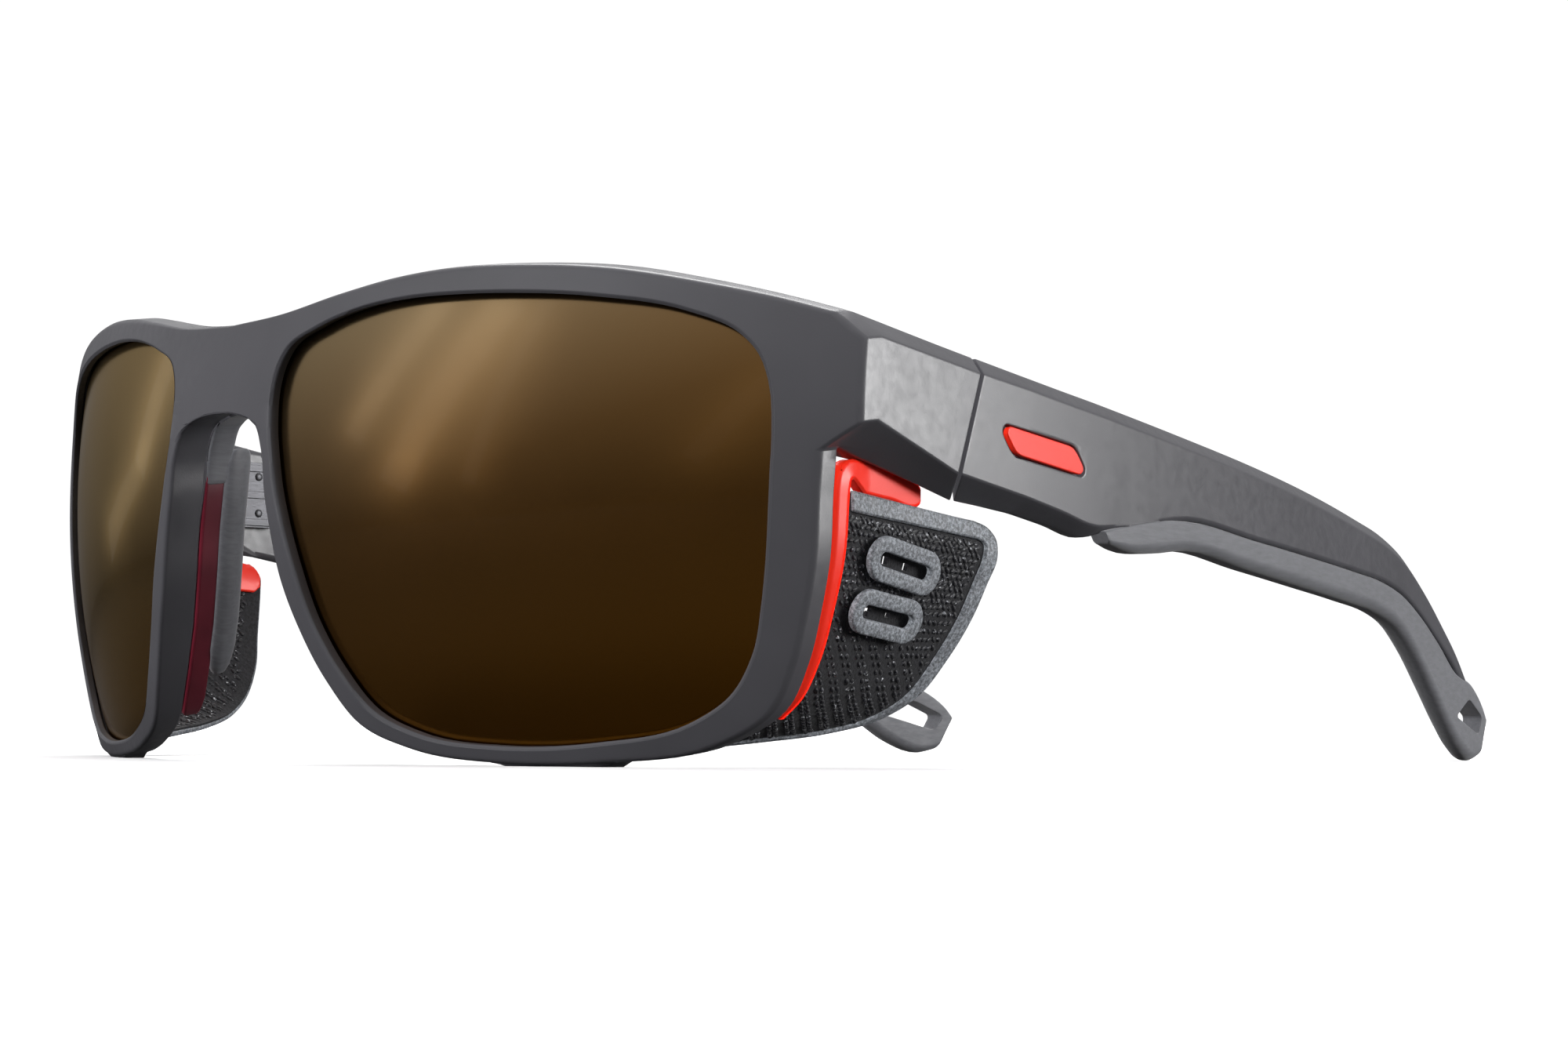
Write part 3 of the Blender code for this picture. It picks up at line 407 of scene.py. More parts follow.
def rounded_outline(corners, radius, steps=3):
    """A closed outline with each corner rounded by a short curve."""
    points = [np.array(p, float) for p in corners]
    count = len(points)
    result = []
    for i, corner in enumerate(points):
        before = points[i - 1] - corner
        after = points[(i + 1) % count] - corner
        reach_back = min(radius, np.linalg.norm(before) * 0.45)
        reach_on = min(radius, np.linalg.norm(after) * 0.45)
        start = corner + before / np.linalg.norm(before) * reach_back
        end = corner + after / np.linalg.norm(after) * reach_on
        for step in range(steps + 1):
            t = step / steps
            result.append(start * (1 - t) ** 2 + corner * 2 * t * (1 - t) + end * t ** 2)
    return result


def along(chain, share):
    """A point part of the way along a chain of points, each span taking an equal share."""
    reach = share * (len(chain) - 1)
    first = min(int(reach), len(chain) - 2)
    start = np.array(chain[first])
    return start + (np.array(chain[first + 1]) - start) * (reach - first)


def chain_points(chain, count):
    return [along(chain, i / (count - 1)) for i in range(count)]


# ---- meshes ---------------------------------------------------------------------------------------
def make_mesh(name, points, faces, mirror=1.0):
    """A mesh in metres whose faces point out; mirror is -1 for the right side."""
    shape = bmesh.new()
    flip = np.array((mirror, 1.0, 1.0)) * MM
    verts = [shape.verts.new(tuple(p * flip)) for p in points]
    for face in faces:
        shape.faces.new([verts[i] for i in face])
    bmesh.ops.remove_doubles(shape, verts=shape.verts, dist=1e-6)
    bmesh.ops.recalc_face_normals(shape, faces=shape.faces)
    mesh = bpy.data.meshes.new(name)
    shape.to_mesh(mesh)
    shape.free()
    return mesh


def chain_cap(ring):
    """Triangles that close a loop made of an outer chain and an inner chain of one length."""
    half = len(ring) // 2
    faces = []
    for i in range(half - 1):
        faces.append((ring[i], ring[i + 1], ring[-2 - i], ring[-1 - i]))
    return faces


def loft(sections, chained=False, closed=False):
    """Points and faces through sections of equal point counts, with ends unless it is closed."""
    size = len(sections[0])
    points = [p for section in sections for p in section]
    faces = []
    if not closed:
        for ring in (list(range(size)), list(range(len(points) - size, len(points)))):
            faces.extend(chain_cap(ring) if chained else [tuple(ring)])
    rows = len(sections) if closed else len(sections) - 1
    for row in range(rows):
        here = row * size
        there = (row + 1) % len(sections) * size
        for k in range(size):
            n = (k + 1) % size
            faces.append((here + k, here + n, there + n, there + k))
    return points, faces


def prism(outline, low, high):
    """Points and faces of an upright prism over a flat outline."""
    return loft([[np.array((x, y, z)) for x, y in outline] for z in (low, high)])


def joined(*shapes):
    """Several shapes' points and faces as one."""
    points = []
    faces = []
    for more_points, more_faces in shapes:
        base = len(points)
        points.extend(more_points)
        faces.extend(tuple(i + base for i in face) for face in more_faces)
    return points, faces


def evaluated(mesh, setup):
    """The mesh after the modifiers that setup adds to an object holding it."""
    holder = bpy.data.objects.new("holder", mesh)
    bpy.context.collection.objects.link(holder)
    setup(holder)
    graph = bpy.context.evaluated_depsgraph_get()
    result = bpy.data.meshes.new_from_object(holder.evaluated_get(graph))
    bpy.data.objects.remove(holder)
    return result


def cut(mesh, tool):
    """The mesh with another closed mesh cut out of it."""
    cutter = bpy.data.objects.new("cutter", tool)
    bpy.context.collection.objects.link(cutter)

    def setup(holder):
        boolean = holder.modifiers.new("cut", "BOOLEAN")
        boolean.operation = "DIFFERENCE"
        boolean.object = cutter

    result = evaluated(mesh, setup)
    bpy.data.objects.remove(cutter)
    return result


def softened(mesh, width=EDGE_SOFTENING, segments=2, angle=CREASE_ANGLE):
    """The mesh with its creases rounded, shaded smooth."""
    def setup(holder):
        bevel = holder.modifiers.new("soft edges", "BEVEL")
        bevel.width = width * MM
        bevel.segments = segments
        bevel.limit_method = "ANGLE"
        bevel.angle_limit = angle
        bevel.use_clamp_overlap = False
        bevel.miter_outer = "MITER_ARC"

    result = evaluated(mesh, setup)
    shade(result)
    return evaluated(result, level_normals)


def level_normals(holder):
    """Keep broad faces flat where they meet narrow bevels."""
    level = holder.modifiers.new("level normals", "WEIGHTED_NORMAL")
    level.keep_sharp = True


def shade(mesh, angle=SHARP_ANGLE):
    mesh.shade_smooth()
    mesh.set_sharp_from_angle(angle=angle)


def add_piece(name, mesh, finish, slot, body, *nodes):
    """Put a finished mesh in the scene, riding on its body in place of its CAD nodes."""
    mesh.materials.clear()
    mesh.materials.append(finish)
    piece = bpy.data.objects.new(name, mesh)
    bpy.context.collection.objects.link(piece)
    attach(piece, body)
    if nodes:
        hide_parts(*nodes)
    return piece


# ---- materials ------------------------------------------------------------------------------------
class Finish:
    """A node material that starts from a Principled shader."""

    def __init__(self, name, colour, roughness, **sockets):
        self.material = bpy.data.materials.new(name)
        self.material.use_nodes = True
        self.nodes = self.material.node_tree.nodes
        self.links = self.material.node_tree.links
        self.shader = self.nodes["Principled BSDF"]
        self.shader.inputs["Base Color"].default_value = (*colour, 1.0)
        self.shader.inputs["Roughness"].default_value = roughness
        for socket, value in sockets.items():
            self.shader.inputs[socket.replace("_", " ")].default_value = value

    def place(self, scale=(1.0, 1.0, 1.0), turn=(0.0, 0.0, 0.0)):
        """Object coordinates, stretched and turned."""
        coordinates = self.nodes.new("ShaderNodeTexCoord")
        mapping = self.nodes.new("ShaderNodeMapping")
        mapping.inputs["Scale"].default_value = scale
        mapping.inputs["Rotation"].default_value = turn
        self.links.new(coordinates.outputs["Object"], mapping.inputs["Vector"])
        return mapping.outputs["Vector"]

    def noise(self, scale, detail=2.0, roughness=0.5, vector=None):
        made = self.nodes.new("ShaderNodeTexNoise")
        made.inputs["Scale"].default_value = scale
        made.inputs["Detail"].default_value = detail
        made.inputs["Roughness"].default_value = roughness
        self.links.new(vector or self.place(), made.inputs["Vector"])
        return made.outputs["Fac"]

    def ramp(self, factor, *stops):
        made = self.nodes.new("ShaderNodeValToRGB")
        elements = made.color_ramp.elements
        while len(elements) < len(stops):
            elements.new(0.5)
        for element, (place, colour) in zip(elements, stops):
            element.position = place
            element.color = (*colour, 1.0)
        self.links.new(factor, made.inputs["Fac"])
        return made.outputs["Color"]

    def ranged(self, factor, low, high, start=0.0, end=1.0):
        made = self.nodes.new("ShaderNodeMapRange")
        made.inputs["From Min"].default_value = start
        made.inputs["From Max"].default_value = end
        made.inputs["To Min"].default_value = low
        made.inputs["To Max"].default_value = high
        self.links.new(factor, made.inputs["Value"])
        return made.outputs["Result"]

    def mix(self, factor, first, second, blend="MIX"):
        made = self.nodes.new("ShaderNodeMix")
        made.data_type = "RGBA"
        made.blend_type = blend
        for socket, value in ((made.inputs["Factor"], factor), (made.inputs["A"], first),
                              (made.inputs["B"], second)):
            if isinstance(value, bpy.types.NodeSocket):
                self.links.new(value, socket)
            else:
                socket.default_value = value
        return made.outputs["Result"]

    def total(self, first, second):
        made = self.nodes.new("ShaderNodeMath")
        made.operation = "ADD"
        self.links.new(first, made.inputs[0])
        self.links.new(second, made.inputs[1])
        return made.outputs["Value"]

    def bump(self, height, strength, distance):
        made = self.nodes.new("ShaderNodeBump")
        made.inputs["Strength"].default_value = strength
        made.inputs["Distance"].default_value = distance
        self.links.new(height, made.inputs["Height"])
        self.links.new(made.outputs["Normal"], self.shader.inputs["Normal"])

    def colour(self, socket):
        self.links.new(socket, self.shader.inputs["Base Color"])

    def gloss(self, socket):
        self.links.new(socket, self.shader.inputs["Roughness"])


def tint(colour, share):
    return tuple(min(1.0, c * share) for c in colour)


def settings():
    return bpy.context.scene.glacier_glasses


def kept(name, make):
    """A material made once, by its name."""
    return bpy.data.materials.get(name) or make(name)


def satin_plastic(name):
    """Moulded plastic with a fine spark-eroded grain and a soft satin sheen."""
    base = tuple(settings().frame_colour)
    finish = Finish(name, base, 0.36, Specular_IOR_Level=0.6)
    cloud = finish.noise(55.0, 3.0)
    finish.colour(finish.ramp(cloud, (0.3, tint(base, 0.90)), (0.7, tint(base, 1.10))))
    finish.gloss(finish.ranged(finish.noise(900.0, 2.0), 0.32, 0.40, 0.3, 0.7))
    finish.bump(finish.noise(5200.0, 2.0, 0.6), 0.12, 0.00006)
    return finish.material


def coated_lens(name):
    """Bronze mirror coating that goes from pale gold above to deep brown below, partly the coating's own
    gradient and partly painted reflection of the bright sky above and the dark floor below; painted shade also
    darkens it towards +X, leaving the right lens lighter than the left.
    """
    top = tuple(settings().lens_top_colour)
    bottom = tuple(settings().lens_bottom_colour)
    finish = Finish(name, top, 0.2, Metallic=1.0, Coat_Weight=0.12, Coat_Roughness=0.03,
                    Specular_Tint=(1.0, 0.84, 0.58, 1.0))
    split = finish.nodes.new("ShaderNodeSeparateXYZ")
    finish.links.new(finish.place(), split.inputs["Vector"])
    # painted reflection in part: the coating is painted lighter towards the top, where the lens reflects the
    # bright sky, and darker below, where it reflects the dark floor
    height = finish.ranged(split.outputs["Z"], 0.0, 0.65, 0.002, 0.046)
    # painted shade: the coating darkens towards +X, so the left lens's outer side is painted darker and the
    # right lens comes out lighter than the left
    across = finish.ranged(split.outputs["X"], 0.5, 0.0, -0.03, 0.062)
    middle = tuple(0.3 * a + 0.45 * b for a, b in zip(top, bottom))
    finish.colour(finish.ramp(finish.total(height, across), (0.0, bottom), (0.55, middle),
                              (0.9, top)))
    finish.gloss(finish.ranged(finish.noise(90.0, 2.0), 0.17, 0.22, 0.3, 0.7))
    return finish.material


def gloss_red(name):
    """Bright red moulded plastic."""
    base = tuple(settings().red_colour)
    finish = Finish(name, base, 0.36, Specular_IOR_Level=0.35)
    finish.colour(finish.ramp(finish.noise(120.0, 2.0), (0.3, tint(base, 0.9)), (0.7, base)))
    finish.gloss(finish.ranged(finish.noise(1500.0, 2.0), 0.28, 0.38, 0.3, 0.7))
    finish.bump(finish.noise(4200.0, 2.0), 0.08, 0.00005)
    return finish.material


def soft_rubber(name):
    """Soft-touch rubber with a matt bloom and faint lengthwise drag lines."""
    base = tuple(settings().grip_colour)
    finish = Finish(name, base, 0.58, Sheen_Weight=0.25, Sheen_Roughness=0.45)
    drag = finish.noise(420.0, 3.0, 0.6, finish.place((6.0, 0.5, 6.0), (math.radians(-10.0), 0.0, 0.0)))
    finish.colour(finish.ramp(drag, (0.3, tint(base, 0.86)), (0.7, tint(base, 1.16))))
    finish.gloss(finish.ranged(finish.noise(700.0), 0.52, 0.64, 0.3, 0.7))
    finish.bump(drag, 0.25, 0.00008)
    return finish.material


def wine_plastic(name):
    """Deep wine-red carrier plastic."""
    finish = Finish(name, (0.13, 0.012, 0.024), 0.34)
    cloud = finish.noise(160.0, 2.0)
    finish.colour(finish.ramp(cloud, (0.3, (0.10, 0.009, 0.018)), (0.7, (0.17, 0.017, 0.032))))
    finish.bump(finish.noise(3600.0), 0.08, 0.00005)
    return finish.material


def brushed_steel(name):
    """Brushed dark steel of the hinge."""
    finish = Finish(name, (0.08, 0.08, 0.085), 0.5, Metallic=1.0)
    lines = finish.noise(900.0, 2.0, 0.5, finish.place((1.0, 1.0, 18.0)))
    finish.gloss(finish.ranged(lines, 0.36, 0.56, 0.3, 0.7))
    finish.colour(finish.ramp(lines, (0.3, (0.055, 0.055, 0.06)), (0.7, (0.10, 0.10, 0.105))))
    finish.bump(lines, 0.12, 0.00003)
    return finish.material


def heathered_film(name):
    """Grey edging film pressed on fabric: a fine speckle over uneven patches."""
    base = tuple(settings().trim_colour)
    finish = Finish(name, base, 0.62)
    speck = finish.noise(3000.0, 2.0, 0.75)
    patch = finish.noise(700.0, 3.0, 0.6)
    fine = finish.ramp(speck, (0.35, tint(base, 0.45)), (0.5, base), (0.66, tint(base, 1.9)))
    wide = finish.ramp(patch, (0.3, (0.82, 0.82, 0.84)), (0.75, (1.12, 1.14, 1.16)))
    finish.colour(finish.mix(1.0, fine, wide, "MULTIPLY"))
    finish.gloss(finish.ranged(patch, 0.5, 0.72, 0.3, 0.7))
    finish.bump(speck, 0.35, 0.00012)
    return finish.material


def black_cloth(name):
    """The dark ground of the shield fabric, between its stitches."""
    finish = Finish(name, (0.006, 0.006, 0.008), 0.9, Sheen_Weight=0.05, Sheen_Roughness=0.5)
    weave = finish.noise(3000.0, 3.0, 0.7)
    finish.colour(finish.ramp(weave, (0.35, (0.004, 0.004, 0.005)), (0.7, (0.022, 0.022, 0.026))))
    finish.bump(weave, 0.6, 0.0002)
    return finish.material


def stitch_yarn(name):
    """Black yarn with pale glints where the fibres catch the light."""
    finish = Finish(name, (0.02, 0.02, 0.025), 0.6, Sheen_Weight=0.12, Sheen_Roughness=0.35)
    fibre = finish.noise(2600.0, 2.0, 0.6)
    tone = finish.noise(1100.0, 2.0, 0.6)
    glint = finish.ramp(fibre, (0.54, (0.006, 0.006, 0.009)), (0.62, (0.05, 0.051, 0.060)),
                        (0.70, (0.60, 0.62, 0.65)))
    dark = finish.ramp(tone, (0.35, (0.35, 0.35, 0.36)), (0.65, (1.0, 1.0, 1.0)))
    finish.colour(finish.mix(1.0, glint, dark, "MULTIPLY"))
    finish.bump(fibre, 0.5, 0.0001)
    return finish.material


# ---- front frame ----------------------------------------------------------------------------------
def span_steps():
    """How many steps each span between stations takes: few on the lug's straight spans."""
    return [LUG_STEPS if LUG_FIRST <= i < LUG_LAST else RIM_STEPS for i in range(len(RIM_STATIONS))]


def rim_rows():
    """Station numbers, the opening's edge and the frame's outer edge, all on one count."""
    steps = span_steps()
    inner = smooth_curve([row[0] for row in RIM_STATIONS], steps, closed=True)
    outer = cornered_curve([row[1] for row in RIM_STATIONS], [row[2] for row in RIM_STATIONS], steps)
    stations = [i + k / steps[i] for i in range(len(steps)) for k in range(steps[i])]
    return stations, inner, outer


def rim_depths(station):
    """Depth of the rim, depth of its outer wall and width of the step between them."""
    places = [row[0] for row in RIM_DEPTHS]
    return [np.interp(station, places, [row[k] for row in RIM_DEPTHS]) for k in (1, 2, 3)]


OPENING_ARC = 3
FRONT_ARC = 5
FACE_POINTS = 4
WALL_FRONT = OPENING_ARC + 1 + FACE_POINTS + FRONT_ARC    # last place of the outer front arc
WALL_REAR = WALL_FRONT + 1


def rim_section(station, inner, outer):
    """The rim's cross-section: points round it as (across, up, behind)."""
    width = np.linalg.norm(outer - inner)
    out = (outer - inner) / width
    depth, wall, step = rim_depths(station)
    on_mirror = station > MIRROR_FIRST
    edge = 1e-4 if on_mirror else FRONT_ROUND
    groove_front = LENS_FRONT - GROOVE_PLAY
    groove_back = LENS_FRONT + LENS_THICKNESS + GROOVE_PLAY
    rear = width if on_mirror else max(REAR_LIP, width - step)
    profile = arc((OPENING_ROUND, OPENING_ROUND), OPENING_ROUND, 180.0, 270.0, OPENING_ARC)
    flat = width - edge - OPENING_ROUND
    profile += [(OPENING_ROUND + flat * (i + 1) / (FACE_POINTS + 1), 0.0) for i in range(FACE_POINTS)]
    profile += arc((width - edge, edge), edge, -90.0, 0.0, FRONT_ARC)
    profile += [(width, wall), (min(rear + 0.05, width), wall), (rear, depth), (0.3, depth), (0.0, depth - 0.3),
                (0.0, groove_back), (GROOVE_DEPTH, groove_back), (GROOVE_DEPTH, groove_front),
                (0.0, groove_front)]
    section = [(*(inner + out * s), w) for s, w in profile]
    if station in (0, MIRROR_FIRST):
        for k in (*range(WALL_FRONT - FRONT_ARC, WALL_FRONT), WALL_REAR + 1, WALL_REAR + 2):
            section[k] = (0.0, *section[k][1:])
    return section


def seam_section(play):
    """The lug's end, or the temple's start: points down the outer chain, then up the inner one."""
    loop = []
    for chain in (SEAM_OUTER, SEAM_INNER):
        corners = [from_front(x, seam_back(x, z) + play, z) for x, z in chain]
        loop += chain_points(corners, CHAIN_COUNT)
    return loop


def front_half():
    """Points and faces of the frame's left half, open where it meets the right half."""
    stations, inner, outer = rim_rows()
    count = len(stations)
    points = []
    for station, near, far in zip(stations, inner, outer):
        for k, (u, v, w) in enumerate(rim_section(station, near, far)):
            point = on_front(u, v, w)
            if abs(u - FOOT_CENTRE) < FOOT_HALF_WIDTH and v < 0 and WALL_FRONT <= k <= WALL_REAR:
                point[2] = 0.0
            points.append(point)
    size = len(points) // count
    lug = [i for i in range(count) if LUG_FIRST <= stations[i] < LUG_LAST]
    faces = []
    for i in range(count):
        j = (i + 1) % count
        for k in range(size):
            on_mirror = stations[i] >= MIRROR_FIRST and WALL_FRONT - FRONT_ARC <= k <= WALL_REAR + 1
            if (k == WALL_REAR and i in lug) or on_mirror:
                continue
            n = (k + 1) % size
            faces.append((i * size + k, i * size + n, j * size + n, j * size + k))
    add_lug(points, faces, size, lug)
    return points, faces


def add_lug(points, faces, size, lug):
    """Extend the frame's outer rear corner back to the temple's seam."""
    rows = lug + [lug[-1] + 1]
    loop = [i * size + WALL_REAR for i in rows]
    loop += [i * size + WALL_REAR + 1 for i in reversed(rows)]
    start = [points[i] for i in loop]
    end = seam_section(-SEAM_GAP / 2)
    for share, slimming in LUG_SECTIONS:
        first = len(points)
        for k, (a, b) in enumerate(zip(start, end)):
            point = a + (b - a) * share
            if k >= len(rows):
                point[0] = a[0] + (b[0] - a[0]) * slimming
            points.append(point)
        ring = list(range(first, first + len(loop)))
        for k in range(len(loop)):
            n = (k + 1) % len(loop)
            faces.append((loop[k], loop[n], ring[n], ring[k]))
        loop = ring
    faces.extend(chain_cap(loop))


class BuildFront(bpy.types.Operator):
    """Build the one-piece front: two rims, the bridge and both lugs"""
    bl_idname = "glasses.build_front"
    bl_label = "Front"

    def execute(self, context):
        points, faces = front_half()
        count = len(points)
        points = points + [p * np.array((-1, 1, 1)) for p in points]
        faces = faces + [tuple(i + count for i in reversed(face)) for face in faces]
        mesh = softened(make_mesh("front_moulding", points, faces))
        add_piece("front_moulding", mesh, kept("satin_plastic", satin_plastic), "frame", "front",
                  "front_frame")
        return {"FINISHED"}


class BuildLenses(bpy.types.Operator):
    """Build a curved, coated lens for each rim"""
    bl_idname = "glasses.build_lenses"
    bl_label = "Lenses"

    def execute(self, context):
        _, inner, outer = rim_rows()
        centre = np.array(LENS_CENTRE)
        edge = [a + (b - a) / np.linalg.norm(b - a) * LENS_SEAT for a, b in zip(inner, outer)]
        size = len(edge)
        shares = [1.0 - i / LENS_RINGS for i in range(LENS_RINGS)]
        points = []
        faces = []
        for depth in (LENS_FRONT, LENS_FRONT + LENS_THICKNESS):
            base = len(points)
            for share in shares:
                points.extend(on_front(*(centre + (p - centre) * share), depth) for p in edge)
            points.append(on_front(*centre, depth))
            tip = len(points) - 1
            for i in range(size):
                j = (i + 1) % size
                for ring in range(LENS_RINGS - 1):
                    a = base + ring * size
                    faces.append((a + i, a + j, a + size + j, a + size + i))
                last = base + (LENS_RINGS - 1) * size
                faces.append((last + i, last + j, tip))
        back = len(points) // 2
        faces.extend((i, (i + 1) % size, back + (i + 1) % size, back + i) for i in range(size))
        for side, sign in SIDES:
            mesh = make_mesh("tinted_lens", points, faces, sign)
            shade(mesh)
            add_piece(f"tinted_lens_{side}", mesh, kept("coated_lens", coated_lens), "lens", "front",
                      f"lens_{side}")
        return {"FINISHED"}


# ---- nose pads ------------------------------------------------------------------------------------
def nose_strip(first, last, profile, fullness_at_ends):
    """A strip along the rim's nose side; its profile is given from the rim's outer rear edge."""
    stations, inner, outer = rim_rows()
    middle = np.mean(np.array(profile), axis=0)
    sections = []
    for station, near, far in zip(stations, inner, outer):
        if not first <= station <= last:
            continue
        out = (far - near) / np.linalg.norm(far - near)
        depth = rim_depths(station)[0]
        end = min(station - first, last - station)
        fullness = fullness_at_ends + (1 - fullness_at_ends) * math.sqrt(min(1.0, end / 0.5))
        section = []
        for spot in profile:
            s, w = middle + (np.array(spot) - middle) * fullness
            section.append(on_front(*(far + out * s), depth + w))
        sections.append(section)
    return loft(sections)


class BuildNosePads(bpy.types.Operator):
    """Build the wine-red carriers behind the rims' nose sides, and the soft pads on them"""
    bl_idname = "glasses.build_nose_pads"
    bl_label = "Nose pads"

    def execute(self, context):
        carrier = rounded_outline(CARRIER_PROFILE, 0.25)
        pad = smooth_curve(PAD_PROFILE, 4, closed=True)
        curl = rounded_outline(CURL_PROFILE, 0.4)
        for side, sign in SIDES:
            points, faces = nose_strip(*CARRIER_STATIONS, carrier, 0.6)
            mesh = softened(make_mesh("nose_carrier", points, faces, sign), 0.12)
            add_piece(f"nose_carrier_{side}", mesh, kept("wine_plastic", wine_plastic), "pad_base",
                      "front", f"nose_pad_base_{side}")
            points, faces = joined(nose_strip(*PAD_STATIONS, pad, 0.5),
                                   nose_strip(*CURL_STATIONS, curl, 0.9))
            mesh = softened(make_mesh("nose_cushion", points, faces, sign), 0.15)
            add_piece(f"nose_cushion_{side}", mesh, kept("soft_rubber", soft_rubber), "soft_grip",
                      "front", f"nose_pad_{side}")
        return {"FINISHED"}


# ---- temples --------------------------------------------------------------------------------------
def temple_section(row):
    """The temple's cross-section at a row of its numbers, in the seam's order."""
    top = row[0:2]
    bottom = row[2:4]
    chamfer, inset, thickness = row[4:7]
    height = np.linalg.norm(top - bottom)
    up = (top - bottom) / height
    profile = ((-1.4, height), (0.0, height - TEMPLE_TOP_CHAMFER), (0.0, chamfer), (-inset, 0.0),
               (-thickness + 0.4, 0.0), (-thickness, 0.6), (-thickness, height - 0.7),
               (-thickness + 0.5, height))
    corners = []
    for x, rise in profile:
        back, z = bottom + up * rise
        corners.append(from_front(temple_face(back) + x, back, z))
    return chain_points(corners[:4], CHAIN_COUNT) + chain_points(corners[4:], CHAIN_COUNT)


def emblem_plate(outline, margin, low, high):
    """A slanted plate that follows the temple's outer face, between two heights above it."""
    middle = np.mean(np.array(EMBLEM), axis=0)
    sections = []
    for height in (low, high):
        section = []
        for spot in outline:
            step = np.array(spot) - middle
            back, z = middle + step * (1 + margin / np.linalg.norm(step) * 2)
            section.append(from_front(temple_face(back) + height, back, z))
        sections.append(section)
    return loft(sections)


class BuildTemples(bpy.types.Operator):
    """Build each temple arm with the recess for its inlay, and the inlay"""
    bl_idname = "glasses.build_temples"
    bl_label = "Temples"

    def execute(self, context):
        rows = [np.array((*top, *bottom, *rest)) for top, bottom, *rest in TEMPLE_STATIONS]
        sections = [seam_section(SEAM_GAP / 2)]
        sections += [temple_section(row) for row in smooth_curve(rows, TEMPLE_STEPS)]
        arm_points, arm_faces = loft(sections, chained=True)
        outline = rounded_outline(EMBLEM, 0.6)
        for side, sign in SIDES:
            arm = make_mesh("temple_arm", arm_points, arm_faces, sign)
            points, faces = emblem_plate(outline, EMBLEM_PLAY, -EMBLEM_RECESS, 1.0)
            arm = softened(cut(arm, make_mesh("recess", points, faces, sign)))
            add_piece(f"temple_arm_{side}", arm, kept("satin_plastic", satin_plastic), "frame",
                      f"{side}_temple", f"temple_{side}")
            points, faces = emblem_plate(outline, 0.0, -EMBLEM_RECESS + EMBLEM_PLAY, EMBLEM_PROUD)
            inlay = softened(make_mesh("temple_inlay", points, faces, sign), 0.15, 3)
            add_piece(f"temple_inlay_{side}", inlay, kept("gloss_red", gloss_red), "red",
                      f"{side}_temple", f"emblem_{side}")
        return {"FINISHED"}


def grip_section(row):
    """The grip's cross-section: rounded below, flat where it meets the temple."""
    top = row[0:2]
    bottom = row[2:4]
    thickness = row[4]
    height = np.linalg.norm(top - bottom)
    up = (top - bottom) / height
    over = min(1.3, height * 0.42)
    height += GRIP_TUCK
    profile = [(0.05 - 0.25, height), (0.05, height - 0.25)]
    profile += [(0.05 - over + over * math.cos(a), over - over * math.sin(a))
                for a in (math.pi / 2 * i / 5 for i in range(6))]
    profile += [(-thickness + over - over * math.cos(a), over - over * math.sin(a))
                for a in (math.pi / 2 * (5 - i) / 5 for i in range(6))]
    profile += [(-thickness, height - 0.25), (-thickness + 0.25, height)]
    section = []
    for x, rise in profile:
        back, z = bottom + up * rise
        section.append(from_front(temple_face(back) + x, back, max(z, 0.0)))
    return section


class BuildGrips(bpy.types.Operator):
    """Build the soft grip under each temple, with the cord slot through its tip"""
    bl_idname = "glasses.build_grips"
    bl_label = "Grips"

    def execute(self, context):
        rows = [np.array((*top, *bottom, thick)) for top, bottom, thick in GRIP_STATIONS]
        grip_points, grip_faces = loft([grip_section(row) for row in smooth_curve(rows, GRIP_STEPS)])
        outline = rounded_outline(CORD_SLOT, CORD_SLOT_ROUND)
        slot = loft([[from_front(x, back, z) for back, z in outline] for x in (35.0, 65.0)])
        for side, sign in SIDES:
            grip = make_mesh("soft_grip", grip_points, grip_faces, sign)
            grip = softened(cut(grip, make_mesh("slot", *slot, sign)), 0.18)
            add_piece(f"soft_grip_{side}", grip, kept("soft_rubber", soft_rubber), "soft_grip",
                      f"{side}_temple", f"temple_grip_{side}")
        return {"FINISHED"}


# ---- hinges ---------------------------------------------------------------------------------------
def circle(centre, radius, sides=ROUND_SIDES):
    return [(centre[0] + radius * math.cos(2 * math.pi * i / sides),
             centre[1] + radius * math.sin(2 * math.pi * i / sides)) for i in range(sides)]


def ring_prism(centre, outer, inner, low, high):
    """A short tube standing upright."""
    loops = []
    for radius, z in ((outer, low), (outer, high), (inner, high), (inner, low)):
        loops.append([np.array((x, y, z)) for x, y in circle(centre, radius)])
    return loft(loops, closed=True)


def rivet(x, back, z):
    """A low domed rivet head on the leaf's inner face."""
    sections = []
    for share, rise in ((1.0, -0.05), (0.95, 0.5), (0.7, 0.85), (0.35, 1.0)):
        sections.append([from_front(x - RIVET_HEIGHT * rise, back + a, z + b)
                         for a, b in circle((0.0, 0.0), RIVET_RADIUS * share, 16)])
    return loft(sections)


